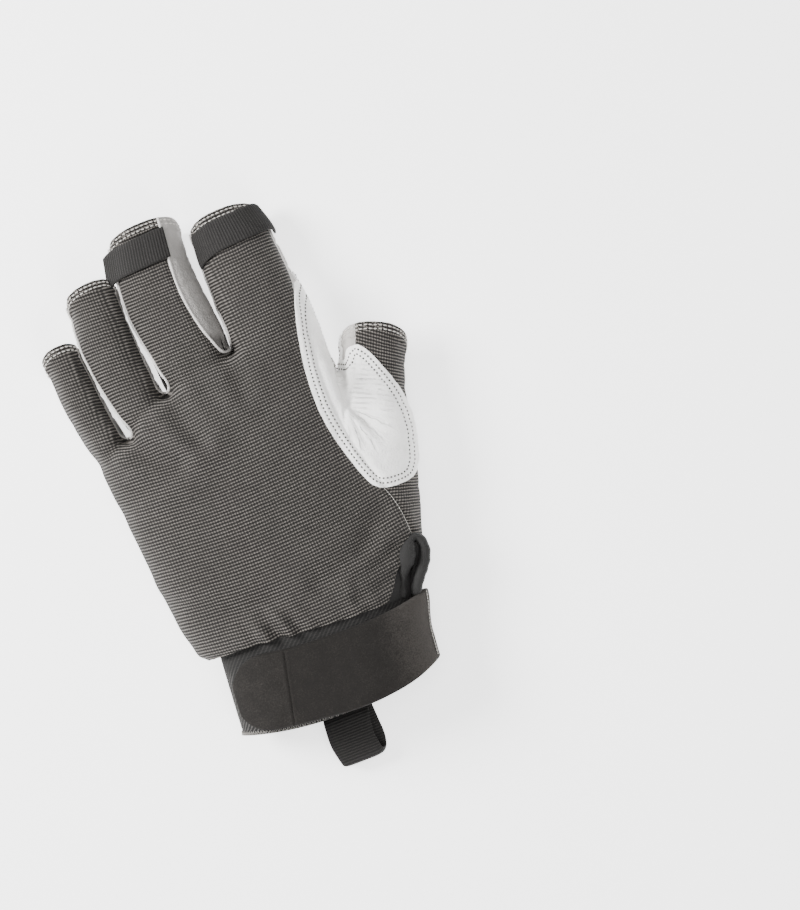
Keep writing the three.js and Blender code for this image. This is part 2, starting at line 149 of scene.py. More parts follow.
# Seams seen from above, in plan
BACK_SEAM = [
    (51.8, 14), (51.6, 44), (51.3, 50), (51.0, 57), (50.5, 64), (47.5, 72),
    (44, 88), (42, 104), (42, 118), (43.2, 134), (45.4, 148), (46.6, 160), (46.0, 176),
    (44.6, 190), (44.6, 215),
    (14.4, 215), (14.2, 190), (14.3, 178), (14.6, 164), (15.2, 154),
    (15.6, 147.5), (14.6, 143.2), (12.2, 141.4), (10.0, 142.4), (8.6, 145.6),
    (5.7, 156), (3.9, 170), (4.8, 184), (6.5, 194), (8.0, 215),
    (-14.4, 215), (-15.2, 198), (-17.2, 182), (-18.3, 169), (-17.2, 158), (-15.3, 148.7),
    (-13.7, 142), (-13.8, 138.2), (-16.2, 135.6), (-18.6, 138.0), (-19.1, 142.0),
    (-19.3, 152), (-19.9, 166), (-19.6, 178), (-19.0, 190), (-20.0, 215),
    (-38.8, 215), (-38.6, 184), (-40.5, 166), (-39.4, 150), (-37.2, 139),
    (-34.7, 132.5), (-33.8, 128.2), (-36.1, 124.8), (-38.9, 127.2), (-39.5, 132),
    (-40.4, 142), (-41.3, 153.7), (-42.4, 168.3), (-43.2, 190), (-43.5, 215),
    (-90, 215), (-90, 14),
]
PATCH_BACK = [
    (47.4, 159.6), (42.6, 147.3), (39.1, 134.1), (36.6, 118.9), (36.1, 103.9), (38.6, 89.6), (42.2, 76.4),
    (45.0, 70.9), (50.5, 68.8), (58.5, 68.6), (63.0, 72.0), (66.9, 81.7), (68.6, 90.7), (68.7, 98.6),
    (67.4, 106.7), (65.0, 115.1), (62.5, 121.6), (59.5, 125.3), (55.6, 124.6), (52.0, 121.6), (50.6, 123),
    (58, 140), (56, 158),
]
PATCH_PALM = [
    (34.5, 162.0), (60, 160.5), (60, 122), (50.5, 121), (47.8, 112.5), (41.5, 106.8), (38.6, 106.4),
    (22.6, 113.2), (21.4, 116.0), (23.4, 121),
]
FOURCHETTES = {
    "fourchette_ring_little": [(-47, 118), (-27, 118), (-31, 215), (-50, 215)],
    "fourchette_middle_ring": [(-27, 126), (-2, 128), (-1, 215), (-31, 215)],
    "fourchette_index_middle": [(-2, 132), (29, 132), (31, 215), (-1, 215)],
}
# Heights at which the panels end, and the width of the thumb's strip of fabric
BACK_SEAM_Z = 9.0
THUMB_SEAM_Z = 8.0
FOURCHETTE_Z = 5.5
PATCH_TURN_Z = 9.0
THUMB_STRIP = 8.5

PATCH_LIFT = 1.1
PATCH_WALL = 0.85
# Rows of stitches in the patch, from its edge
PATCH_STITCHES = (1.7, 3.5)
# How deep the leather lies in the narrow gaps, and the least height over the floor
GAP_DEPTH = 6.0
FLOOR_CLEAR = 0.04
# The rolled edges: radius, step along them, and how far they go on past a narrow gap's crotch
ROLL_RADIUS = 0.56
ROLL_STEP = 0.4
ROLL_REACH = 9.0


def smooth_table(x, rows, column):
    """Reads a column of rows at x, as a smooth curve through the rows."""
    xs = np.array([row[0] for row in rows], float)
    ys = np.array([row[column] for row in rows], float)
    slopes = np.gradient(ys, xs)
    x = np.clip(x, xs[0], xs[-1])
    i = np.clip(np.searchsorted(xs, x) - 1, 0, len(xs) - 2)
    width = xs[i + 1] - xs[i]
    t = (x - xs[i]) / width
    return (
        (2 * t**3 - 3 * t**2 + 1) * ys[i] + (t**3 - 2 * t**2 + t) * width * slopes[i]
        + (3 * t**2 - 2 * t**3) * ys[i + 1] + (t**3 - t**2) * width * slopes[i + 1]
    )


def smooth_max(a, b, width):
    blend = np.clip(0.5 + 0.5 * (a - b) / width, 0, 1)
    return b + (a - b) * blend + width * blend * (1 - blend)


def smooth_min(a, b, width):
    return -smooth_max(-a, -b, width)


def ramp(x, low, high):
    """From 0 at low to 1 at high, smoothly."""
    t = np.clip((x - low) / (high - low), 0, 1)
    return t * t * (3 - 2 * t)


def bell(away, width):
    """1 at no distance, falling off over a width on both sides."""
    return np.exp(-((away / width) ** 2))


def unit(vectors):
    """Vectors in the same directions, of length 1."""
    return vectors / np.maximum(np.linalg.norm(vectors, axis=-1), 1e-9)[..., None]


def axis_frame(part, x, y):
    """Distance along a part's axis, and across it."""
    lean = math.radians(part["lean"])
    dx = x - part["origin"][0]
    dy = y - part["origin"][1]
    along = math.sin(lean) * dx + math.cos(lean) * dy
    across = math.cos(lean) * dx - math.sin(lean) * dy
    return along, across


def oval_distance(across, z, half, high):
    """About the distance in millimetres from an oval section, negative inside."""
    waist = high * WAIST
    u = np.abs(across / half)
    v = np.where(z > waist, (z - waist) / (high - waist), (waist - z) / (waist * BELLY))
    ring = (u**ACROSS_POWER + np.abs(v) ** RISE_POWER) ** (1 / MEAN_POWER)
    body = (ring - 1) * np.minimum(half, high * 0.56)
    return smooth_max(body, -z, FLOOR_BLEND)


def tube_distance(part, x, y, z):
    along, across = axis_frame(part, x, y)
    rows = part["rows"]
    half = smooth_table(along, rows, 2)
    high = smooth_table(along, rows, 3)
    offset = smooth_table(along, rows, 1)
    body = oval_distance(across - offset, z, half, high)
    body = smooth_max(body, rows[0][0] + 2 - along, 3)
    return np.maximum(body, along - rows[-1][0] + 1)


def hand_distance(x, y, z):
    """The whole hand, its parts blended where they meet."""
    web = np.interp(x, *zip(*WEB_LINE))
    palm = smooth_max(tube_distance(PALM, x, y, z), y - web, WEB_BLEND)
    thumb = tube_distance(THUMB, x, y, z)
    body = smooth_min(palm, thumb, np.interp(y, [98, 114], [4.5, 0.9]))
    fingers = None
    for part in FINGERS.values():
        finger = tube_distance(part, x, y, z)
        fingers = finger if fingers is None else np.minimum(fingers, finger)
    return smooth_min(body, fingers, FINGER_BLEND)


def edge_distance(x, y, a, b):
    """Distance in plan to the stretch from a to b."""
    edge = b - a
    t = np.clip(((x - a[0]) * edge[0] + (y - a[1]) * edge[1]) / (edge @ edge), 0, 1)
    return np.hypot(x - a[0] - t * edge[0], y - a[1] - t * edge[1])


def plan_distance(x, y, outline):
    """Signed distance in plan to a closed outline, positive inside."""
    points = np.array(outline, float)
    nearest = np.full(x.shape, 1e9)
    inside = np.zeros(x.shape, bool)
    for a, b in zip(points, np.roll(points, -1, axis=0)):
        nearest = np.minimum(nearest, edge_distance(x, y, a, b))
        if a[1] != b[1]:
            crosses = (a[1] > y) != (b[1] > y)
            inside ^= crosses & (x < a[0] + (y - a[1]) * (b[0] - a[0]) / (b[1] - a[1]))
    return np.where(inside, nearest, -nearest)


def line_distance(x, y, line):
    """Distance in plan to an open line, its bends rounded."""
    points = softened(line)
    return np.min([edge_distance(x, y, a, b) for a, b in zip(points[:-1], points[1:])], axis=0)


def cut_corners(points, after):
    """Two points on each stretch, a quarter of it in from either end."""
    return np.stack([points * 0.75 + after * 0.25, points * 0.25 + after * 0.75], 1).reshape(-1, 2)


def rounded(outline, rounds=2):
    """Rounds a closed outline's bends."""
    points = np.array(outline, float)
    for _ in range(rounds):
        points = cut_corners(points, np.roll(points, -1, axis=0))
    return points


def softened(line, rounds=2):
    """Rounds an open line's bends and keeps its ends."""
    points = np.array(line, float)
    for _ in range(rounds):
        points = np.concatenate([points[:1], cut_corners(points[:-1], points[1:]), points[-1:]])
    return points


def wobble(p, scale, seed):
    """Smooth unevenness from -1 to 1, the same on each run."""
    random = np.random.default_rng(seed)
    total = np.zeros(len(p))
    for step in range(5):
        way = unit(random.normal(size=3))
        phase = random.uniform(0, 2 * math.pi)
        total += np.sin(p @ way * 2 * math.pi / (scale * (0.7 + 0.25 * step)) + phase)
    return total / 5


# The hand's surface, found in a grid of distances

# From, to and step along x, y and z
HAND_GRID = [(-60, 84, 0.6), (16, 214, 0.95), (-3, 40, 0.8)]
GRID_SCALE = 1.0


def surface_net(field, xs, ys, zs):
    """Quads around the zero surface of a field on a grid, with a vertex in each cell it crosses."""
    inside = field < 0
    corners = [(i, j, k) for i in (0, 1) for j in (0, 1) for k in (0, 1)]
    shape = np.array(field.shape) - 1

    def window(values, offset):
        return values[tuple(slice(o, o + n) for o, n in zip(offset, shape))]

    count = sum(window(inside, c).astype(np.int8) for c in corners)
    active = (count > 0) & (count < 8)
    index = np.full(tuple(shape), -1)
    cells = np.argwhere(active)
    index[active] = np.arange(len(cells))
    total = np.zeros((len(cells), 3))
    weight = np.zeros(len(cells))
    for a in corners:
        for axis in range(3):
            if a[axis]:
                continue
            b = tuple(1 if n == axis else a[n] for n in range(3))
            fa = window(field, a)[active]
            fb = window(field, b)[active]
            cross = (fa < 0) != (fb < 0)
            t = np.where(cross, fa / np.where(cross, fa - fb, 1), 0)
            point = np.array(a, float) + t[:, None] * (np.array(b, float) - np.array(a, float))
            total += np.where(cross[:, None], point, 0)
            weight += cross
    place = cells + total / weight[:, None]
    vertices = np.stack([
        np.interp(place[:, 0], np.arange(len(xs)), xs),
        np.interp(place[:, 1], np.arange(len(ys)), ys),
        np.interp(place[:, 2], np.arange(len(zs)), zs),
    ], 1)
    quads = []
    for axis in range(3):
        b, c = (axis + 1) % 3, (axis + 2) % 3
        low = [slice(1, -1)] * 3
        low[axis] = slice(0, -1)
        high = list(low)
        high[axis] = slice(1, None)
        here, there = inside[tuple(low)], inside[tuple(high)]
        for flip in (False, True):
            found = np.argwhere((here & ~there) if not flip else (~here & there))
            base = found + np.array([0 if n == axis else 1 for n in range(3)])
            step_b = np.eye(3, dtype=int)[b]
            step_c = np.eye(3, dtype=int)[c]
            ring = [base - step_b - step_c, base - step_c, base, base - step_b]
            if flip:
                ring = ring[::-1]
            quads.append(np.stack([index[tuple(r.T)] for r in ring], 1))
    return vertices, np.concatenate(quads)


def hand_gradient(p, step=0.05):
    ways = []
    for axis in range(3):
        shift = np.zeros(3)
        shift[axis] = step
        ahead, behind = p + shift, p - shift
        ways.append((hand_distance(*ahead.T) - hand_distance(*behind.T)) / (2 * step))
    return np.stack(ways, 1)


def hand_surface():
    """Points and triangles of the whole hand, before folds and seams are worked in."""
    xs, ys, zs = (np.arange(low, high, step * GRID_SCALE) for low, high, step in HAND_GRID)
    field = hand_distance(*np.meshgrid(xs, ys, zs, indexing="ij"))
    vertices, quads = surface_net(field, xs, ys, zs)
    for _ in range(3):
        gradient = hand_gradient(vertices)
        slope = np.maximum((gradient**2).sum(1), 0.05)
        vertices = vertices - gradient * (hand_distance(*vertices.T) / slope)[:, None] * 0.8
    return vertices, np.concatenate([quads[:, [0, 1, 2]], quads[:, [0, 2, 3]]])


# Vertices nearer to a cut than this are taken to lie on it
CUT_SNAP = 0.06


class Sheet:
    """A mesh of triangles with values at its vertices, which can be cut where a value is zero."""

    def __init__(self, points, triangles, values):
        self.points = points
        self.triangles = triangles
        self.values = values

    def cut(self, name, keep_positive=True):
        f = self.values[name].copy()
        f[np.abs(f) < CUT_SNAP] = 0.0
        if not keep_positive:
            f = -f
        signs = np.sign(f)[self.triangles]
        whole = (signs >= 0).all(1) & (signs > 0).any(1)
        split = (signs > 0).any(1) & (signs < 0).any(1)
        kept = [self.triangles[whole]]
        known = {}
        new_pairs = []
        pieces = []
        for corner in self.triangles[split]:
            ring = []
            for i in range(3):
                a, b = int(corner[i]), int(corner[(i + 1) % 3])
                if f[a] >= 0:
                    ring.append(a)
                if f[a] * f[b] < 0:
                    key = (a, b) if a < b else (b, a)
                    if key not in known:
                        known[key] = len(self.points) + len(new_pairs)
                        new_pairs.append(key)
                    ring.append(known[key])
            for i in range(1, len(ring) - 1):
                pieces.append((ring[0], ring[i], ring[i + 1]))
        if pieces:
            kept.append(np.array(pieces))
        triangles = np.concatenate(kept)
        pairs = np.array(new_pairs, int).reshape(-1, 2)
        t = f[pairs[:, 0]] / (f[pairs[:, 0]] - f[pairs[:, 1]]) if len(pairs) else np.zeros(0)

        def extended(values):
            mix = t if values.ndim == 1 else t[:, None]
            return np.concatenate([values, values[pairs[:, 0]] * (1 - mix) + values[pairs[:, 1]] * mix])

        points = extended(self.points)
        values = {key: extended(value) for key, value in self.values.items()}
        used = np.unique(triangles)
        renumber = np.full(len(points), -1)
        renumber[used] = np.arange(len(used))
        return Sheet(points[used], renumber[triangles], {key: value[used] for key, value in values.items()})

    def line(self, name, level):
        """Pairs of points where a value crosses a level, with the surface's normal there."""
        f = self.values[name] - level
        f[f == 0] = 1e-6
        side = f > 0
        sides = side[self.triangles]
        mixed = self.triangles[sides.any(1) & ~sides.all(1)]
        ends = {}
        pairs = []
        places = []
        ups = []
        normals = self.values["normal"]
        for corner in mixed:
            found = []
            for i in range(3):
                a, b = int(corner[i]), int(corner[(i + 1) % 3])
                if side[a] == side[b]:
                    continue
                key = (a, b) if a < b else (b, a)
                if key not in ends:
                    ends[key] = len(places)
                    t = f[key[0]] / (f[key[0]] - f[key[1]])
                    places.append(self.points[key[0]] * (1 - t) + self.points[key[1]] * t)
                    ups.append(normals[key[0]] * (1 - t) + normals[key[1]] * t)
                found.append(ends[key])
            if len(found) == 2:
                pairs.append(found)
        return np.array(places).reshape(-1, 3), np.array(ups).reshape(-1, 3), pairs


# Values over the hand: seams, rims and creases

# The opening in the leather and fabric at the thumb side of the wrist, in plan
NOTCH = [
    (31.5, 14), (31.5, 26.5), (36.4, 33.2), (40, 37.7), (42.8, 41.3), (45.4, 46.2), (49.0, 49.0),
    (52.5, 47.6), (56, 46.2), (75, 44), (75, 14),
]
NOTCH_Z = 6.5
# The elastic behind it: how far it laps, how deep it lies, and its wall
BACKING_LAP = 1.5
BACKING_DEPTH = 1.75
BACKING_WALL = 0.7

# Creases of the palm side: points in plan, depth and width
PALM_CREASES = [
    ([(12.0, 139), (8, 128), (10, 112), (20, 98), (33, 90)], 0.7, 1.1),
    ([(-49, 112), (-36, 109), (-20, 112), (-6, 118)], 0.55, 1.3),
    ([(-47, 96), (-30, 99), (-12, 104), (4, 112)], 0.45, 1.5),
    ([(-52, 124), (-44, 122.5), (-38, 123.5)], 0.6, 0.9),
    ([(-35, 128.5), (-26, 127), (-18, 130)], 0.6, 0.9),
    ([(-14, 135), (-2, 133), (11, 135)], 0.7, 1.0),
    ([(15, 137.5), (26, 136), (36, 138)], 0.6, 1.0),
    ([(30, 104), (24, 88), (22, 70), (26, 52)], 0.6, 1.7),
    ([(36, 104), (31, 88), (31, 72), (36, 58)], 0.5, 1.5),
    ([(43, 106), (39, 92), (40, 78), (46, 66)], 0.5, 1.4),
    ([(48, 104), (46, 94), (49, 84), (55, 76)], 0.45, 1.2),
    ([(-40, 60), (-34, 48), (-22, 40)], 0.4, 2.0),
]
# Valleys of the upper side: points in plan, depth and width
TOP_VALLEYS = [
    ([(12, 141), (12.6, 133), (12, 124)], 0.9, 3.6),
    ([(-16.4, 137), (-14.6, 130), (-12.6, 121), (-10.5, 115)], 1.7, 4.2),
    ([(-36.3, 126), (-33.5, 119), (-29, 113), (-22, 109)], 1.8, 3.8),
    ([(-48, 100), (-40, 104), (-30, 105), (-18, 103)], 0.6, 3.4),
    ([(-46, 60), (-36, 52), (-22, 47), (-10, 46)], 1.0, 4.5),
    ([(44, 62), (34, 52), (24, 47), (12, 46)], 1.1, 4.5),
    ([(43, 47), (34, 42), (25, 40)], 1.0, 2.6),
    ([(39, 38), (31, 35.5), (22, 35)], 0.9, 2.0),
]
# The fold between the hand and the thumb, below the crotch
THUMB_VALLEY = [
    (49.2, 119.5), (48.0, 111.0), (47.7, 106.5), (48.4, 102.6), (50.7, 98.5), (53.4, 88.7), (55.8, 82.0),
]
# Where the patch's wrinkles fan out from
FAN_CENTRE = (46.8, 102.8)
# Cross creases on the fronts of the fingers, along each finger's axis
FINGER_CREASES = {
    "little": (9, 19, 30), "ring": (11, 24, 38), "middle": (12, 27, 43), "index": (22, 33, 42),
}


def hand_values(p, normal):
    """What each vertex of the hand needs: which part it is of, and how far it is inside each outline."""
    x, y, z = p.T
    nearest = np.abs(tube_distance(PALM, x, y, z)) + np.where(y > 150, 50, 0)
    mouth = np.full(len(p), 99.0)
    along_part = y - 100
    owner = np.zeros(len(p))
    for number, (name, part) in enumerate(dict(FINGERS, thumb=THUMB).items(), 1):
        along, _ = axis_frame(part, x, y)
        close = np.abs(tube_distance(part, x, y, z))
        mine = (close < nearest) & (along > 2)
        nearest = np.where(mine, close, nearest)
        mouth = np.where(mine, part["tip"] - along - (MOUTH_TOPS[name] - z) * MOUTH_SLOPE, mouth)
        along_part = np.where(mine, along, along_part)
        owner = np.where(mine, number, owner)
    hem = y - np.interp(x, *zip(*HEM_LINE))
    along, across = axis_frame(THUMB, x, y)
    middle, half = (smooth_table(along, THUMB["rows"], column) for column in (1, 2))
    strip = across - (middle + half - THUMB_STRIP)
    upper = np.minimum(z - THUMB_SEAM_Z, across - (middle - 0.62 * half))

    def inside(outline, rounds):
        return plan_distance(x, y, rounded(outline, rounds))

    notch = np.minimum(inside(NOTCH, 1), z - NOTCH_Z)
    patch_above = np.minimum(inside(PATCH_BACK, 1), z - PATCH_TURN_Z + 2)
    patch_below = np.minimum(inside(PATCH_PALM, 1), PATCH_TURN_Z + 2 - z)
    values = {
        "normal": normal, "mouth": mouth, "owner": owner, "along": along_part, "hem": hem,
        "open": np.minimum(mouth, hem), "back": np.minimum(inside(BACK_SEAM, 2), z - BACK_SEAM_Z),
        "thumb": np.maximum(strip, upper), "notch": notch, "backing": notch + BACKING_LAP,
        "patch": np.maximum(patch_above, patch_below),
    }
    for name, outline in FOURCHETTES.items():
        values[name] = np.minimum(plan_distance(x, y, outline), z - FOURCHETTE_Z)
    return values


def narrow_gap(x, y, z, back):
    """From 0 to 1 inside the narrow gaps between the fingers, where they are seen from above."""
    across = ramp(x, -50, -49) * (1 - ramp(x, -11, -10))
    crotch = ramp(x, 6, 8) * (1 - ramp(x, 16, 18)) * (1 - ramp(y, 146, 152))
    return ramp(-back, 0.35, 0.95) * np.maximum(across, crotch) * ramp(y, 121, 124) * ramp(z, 7, 11)


def painted_leather_shade(p, back, patch):
    """From 0 to 1 where shade is painted into the leather's colour: the slits between the fingers, the wall
    between the middle and index fingers, darker towards its crotch, and the shaded side of the thumb's
    fold.
    """
    x, y, z = p.T
    slit = (1 - ramp(x, -11, -10)) * ramp(x, -50, -49) * ramp(y, 121, 124) * ramp(z, 6, 9)
    slit = slit * ramp(-back, 0.75, 1.35)
    between = ramp(x, 2, 5) * (1 - ramp(x, 17, 20)) * ramp(z, 3, 7) * ramp(-back, 0.3, 1.2) * (patch < -2)
    low = 1 - ramp(y + 4 * wobble(p, 9, 27), 146, 172)
    bottom = 1 - ramp(y, 140, 145)
    fold = bell(x - 53.5, 5) * bell(y - 111, 8) * (patch > 0)
    return np.clip(0.9 * slit + between * (0.3 + 0.15 * low + 0.3 * bottom) + 0.4 * fold, 0, 1)


def on_back(values):
    """1 on the back's fabric, 0 on the leather."""
    return ramp(values["back"], -0.4, 0.4)


def on_finger(values):
    return (values["owner"] > 0) * ramp(values["along"], 2, 9)


def seam_distance(y, values):
    """Distance to the nearest seam of the back, the thumb or the strips between the fingers."""
    on_fabric = values["back"] > 0
    seam = np.minimum(np.abs(values["back"]), np.abs(values["thumb"]) + np.where(on_fabric, 9, 0))
    for name in FOURCHETTES:
        seam = np.minimum(seam, np.abs(values[name]) + np.where(on_fabric | (y < 122), 9, 0))
    return seam


def seam_relief(p, values):
    """General unevenness, and a groove along each seam, shallow in the gaps between fingers."""
    x, y, z = p.T
    at_gaps = ramp(y, 116, 124) * (1 - ramp(x, 19, 24)) * ramp(x, -51, -48)
    uneven = 0.45 * wobble(p, 38, 3) * (0.3 + 0.7 * ramp(z, 6, 16)) + 0.16 * wobble(p, 13, 5)
    seam = seam_distance(y, values)
    groove = (0.65 - 0.6 * at_gaps) * bell(seam, 0.85) * ramp(values["mouth"], 0, 1.5)
    return uneven * (1 - 0.5 * at_gaps) - groove + 0.28 * bell(seam - 2.4, 1.3)


def hem_relief(p, values):
    """Doubled hems at the fingers' and thumb's mouths, slightly gathered."""
    mouth = values["mouth"]
    hem = 0.4 * (1 - ramp(mouth, 4.3, 5.2)) - 0.3 * bell(mouth - 5.1, 0.5)
    return hem + 0.12 * (1 - ramp(mouth, 0, 6)) * np.sin(p[:, 0] * 1.9 + 3 * wobble(p, 21, 7))


def wrist_relief(p, values):
    """The back's fabric puffs out over the cuff and is gathered there."""
    x, y, z = p.T
    top = ramp(z, 6, 16)
    gather = bell(x + 11, 9.5) + 0.16 * bell(x - 22, 16)
    waves = np.cos((x + 8.5) * 2 * math.pi / 8.6 + 0.18 * (y - 36) + 1.2 * wobble(p, 30, 9))
    puff = 2.1 * (1 - ramp(values["hem"], 1, 16)) * gather * waves
    return top * (puff - 0.9 * (1 - ramp(values["hem"], 0, 3.5)))


def back_relief(p, values):
    """Long soft folds of the back's fabric, slack at the knuckles, and a bend in each finger's middle."""
    x, y, z = p.T
    mouth = values["mouth"]
    waves = np.sin(x / 7.5 + 2.4 * wobble(p * [1, 0.35, 1], 50, 11))
    relief = 0.3 * (1 - 0.75 * ramp(y, 118, 138)) * waves * ramp(values["hem"], 4, 20) * ramp(mouth, 2, 20)
    bend = bell(mouth - 27, 2.4) + 0.7 * bell(mouth - 37, 2.6)
    relief -= 0.32 * on_finger(values) * bend * (0.6 + 0.6 * wobble(p, 17, 13))
    crown = ramp(z, 13, 21)
    for line, depth, width in TOP_VALLEYS:
        away = line_distance(x, y, line) + 0.8 * wobble(p, 14, 25)
        relief += depth * crown * (0.45 * bell(away - 1.9 * width, width) - bell(away, width))
    return relief * on_back(values)


def leather_relief(p, values):
    """Creases of the leather: across the fingers' sides and fronts, and over the palm."""
    x, y, z = p.T
    sides = (1 - on_back(values)) * ramp(values["mouth"], 4.5, 7) * ramp(z, 3, 7) * on_finger(values)
    waves = np.clip(np.sin(values["along"] * 2 * math.pi / 6.4 + 3.2 * wobble(p, 19, 15)), 0, 1) ** 3
    relief = -0.24 * sides * ramp(seam_distance(y, values), 0.5, 3) * waves
    below = 1 - ramp(z, 5, 11)
    for number, name in enumerate(FINGERS, 1):
        front = below * (values["owner"] == number)
        for place in FINGER_CREASES[name]:
            away = values["along"] - place - 1.3 * wobble(p, 12, 17 + number)
            relief -= front * (0.6 * bell(away, 0.85) + 0.3 * bell(away - 2.6, 0.7))
    bare = below * (1 - ramp(values["patch"], -1, 0.5))
    for line, depth, width in PALM_CREASES:
        relief -= depth * bare * bell(line_distance(x, y, line) + 0.5 * wobble(p, 9, 19), width)
    return relief


def thumb_relief(p, values):
    """The thumb's fold, steep on the hand's side and slow on the thumb's, and the patch's wrinkles."""
    x, y, z = p.T
    patch = values["patch"]
    fold = softened(THUMB_VALLEY)
    thumb_side = x > np.interp(y, fold[::-1, 1], fold[::-1, 0])
    away = line_distance(x, y, THUMB_VALLEY) / np.where(thumb_side, 5.6, 1.5)
    relief = -3.0 * ramp(y, 80, 106) * ramp(z, 8, 15) * bell(away, 1) * (patch > -3)
    # Wrinkles run across the thumb above the fan's centre and spread out below it
    along, across = axis_frame(THUMB, x, y)
    centre_along, centre_across = axis_frame(THUMB, *FAN_CENTRE)
    along, across = along - centre_along, across - centre_across
    turn = np.arctan2(np.maximum(-along, 0), np.maximum(across, 0.1))
    phase = np.maximum(along, 0) / 3.4 - turn * 1.6 + 0.7 * wobble(p, 24, 21)
    reach = np.hypot(along, across)
    near = ramp(reach, 1, 5) * (1 - ramp(reach, 14, 25)) * ramp(across, -1, 1)
    fan = 0.45 * near * np.clip(np.sin(2 * math.pi * phase), 0, 1) ** 2
    slack = 0.2 * np.clip(np.sin(y / 2.1 + 2.5 * wobble(p, 22, 23)), 0, 1) ** 3
    return relief - (patch > 0) * (fan + slack)


def hand_relief(p, values):
    """How far the surface stands out, for folds, seams, hems and creases."""
    relief = sum(part(p, values) for part in (
        seam_relief, hem_relief, wrist_relief, back_relief, leather_relief, thumb_relief,
    ))
    # Leather between the fingers lies back under the rolled edges
    relief -= 0.8 * narrow_gap(*p.T, values["back"])
    # Where the glove lies on the patch, the leather under it is pushed in by the patch's thickness
    return relief - PATCH_LIFT * ramp(values["patch"], -0.5, 0.5) * ramp(-values["normal"][:, 2], 0.2, 0.8)


def rib_coordinates(p, normal, on_thumb):
    """Across and along the knit, in millimetres: ribs run across the hand, each finger and the thumb."""
    x, y, z = p.T
    down = np.clip(27 - z, 0, 30) * 0.55 * (1 - np.clip(normal[:, 2], 0, 1))
    if on_thumb:
        along, across = axis_frame(THUMB, x, y)
        slant = np.interp(along, [0, 70], [-0.19, 0.25])
        return np.stack([across + np.sign(across) * down, along + slant * across], 1)
    lean = np.interp(x, [-55, -28, 0, 31, 48], [-0.055, -0.05, 0.0, 0.01, 0.02])
    bow = -0.0009 * (x + 4) ** 2 * (1 - ramp(y, 100, 140))
    return np.stack([x + np.sign(x) * down, y - lean * (x + 4) + bow + 0.5 * wobble(p, 60, 31)], 1)


def border_edges(triangles):
    """Edges that only one triangle has, in that triangle's direction."""
    edges = np.concatenate([triangles[:, [0, 1]], triangles[:, [1, 2]], triangles[:, [2, 0]]])
    big = edges.max() + 1
    here = edges[:, 0] * big + edges[:, 1]
    back = edges[:, 1] * big + edges[:, 0]
    return edges[~np.isin(here, back)]


# Making objects


def placed(points):
    return (np.asarray(points) + ORIGIN) * MM


def add_object(name, data):
    made = bpy.data.objects.new(name, data)
    bpy.context.scene.collection.objects.link(made)
    return made


def face_outwards(piece):
    shape = bmesh.new()
    shape.from_mesh(piece.data)
    bmesh.ops.recalc_face_normals(shape, faces=shape.faces)
    shape.to_mesh(piece.data)
    shape.free()
    return piece


def make_object(name, points, faces, sharp=50, maps=None, weights=None):
    """A piece from points in the hand's frame, with UV maps and vertex values by name."""
    name += "_dressed"
    mesh = bpy.data.meshes.new(name)
    mesh.from_pydata(placed(points).tolist(), [], [tuple(int(i) for i in f) for f in faces])
    mesh.polygons.foreach_set("use_smooth", [True] * len(mesh.polygons))
    corners = np.zeros(len(mesh.loops), int)
    mesh.loops.foreach_get("vertex_index", corners)
    for key, values in (maps or {}).items():
        layer = mesh.uv_layers.new(name=key)
        layer.uv.foreach_set("vector", np.asarray(values, float)[corners].ravel())
    for key, values in (weights or {}).items():
        layer = mesh.attributes.new(key, "FLOAT", "POINT")
        layer.data.foreach_set("value", np.asarray(values, float))
    mesh.update()
    mesh.set_sharp_from_angle(angle=math.radians(sharp))
    return add_object(name, mesh)


def walled(points, triangles, normal, wall):
    """A surface given a wall on its inner side: points and faces of one closed body."""
    count = len(points)
    inner = points - normal * wall
    rim = border_edges(triangles)
    faces = np.concatenate([triangles, triangles[:, ::-1] + count])
    side_a = np.stack([rim[:, 1], rim[:, 0], rim[:, 0] + count], 1)
    side_b = np.stack([rim[:, 1], rim[:, 0] + count, rim[:, 1] + count], 1)
    return np.concatenate([points, inner]), np.concatenate([faces, side_a, side_b])


def panel(name, sheet, wall):
    """A sheet given its wall, with what its finish reads at each vertex."""
    values = sheet.values
    points, faces = walled(sheet.points, sheet.triangles, values["normal"], wall)
    points[:, 2] = np.maximum(points[:, 2], FLOOR_CLEAR)
    weights = {
        "slope": 1 - np.abs(values["normal"][:, 2]),
        "rim": np.clip(values["open"], 0, 20),
        # Painted shade for the leather's colour
        "shade": values.get("shade", np.zeros(len(sheet.points))),
    }
    twice = {key: np.tile(value, 2) for key, value in weights.items()}
    return make_object(name, points, faces, maps={"Knit": np.tile(values["knit"], (2, 1))}, weights=twice)


def grid_faces(rows, columns, closed):
    faces = []
    for i in range(rows - 1):
        for j in range(columns if closed else columns - 1):
            k = (j + 1) % columns
            faces.append((i * columns + j, i * columns + k, (i + 1) * columns + k, (i + 1) * columns + j))
    return faces


def slab(name, upper, lower, closed=False, sharp=50, maps=None):
    """One closed body between two grids, joined along their borders. A closed grid goes all round."""
    rows, columns = upper.shape[:2]
    faces = grid_faces(rows, columns, closed)
    count = rows * columns
    under = [tuple(i + count for i in reversed(face)) for face in faces]
    border = []
    for j in range(columns if closed else columns - 1):
        k = (j + 1) % columns
        border += [(k, j), ((rows - 1) * columns + j, (rows - 1) * columns + k)]
    if not closed:
        for i in range(rows - 1):
            border += [(i * columns, (i + 1) * columns)]
            border += [((i + 1) * columns + columns - 1, i * columns + columns - 1)]
    sides = [(a, b, b + count, a + count) for a, b in border]
    points = np.concatenate([upper.reshape(-1, 3), lower.reshape(-1, 3)])
    doubled = {key: np.concatenate([value.reshape(-1, 2)] * 2) for key, value in (maps or {}).items()}
    return face_outwards(make_object(name, points, faces + under + sides, sharp=sharp, maps=doubled))


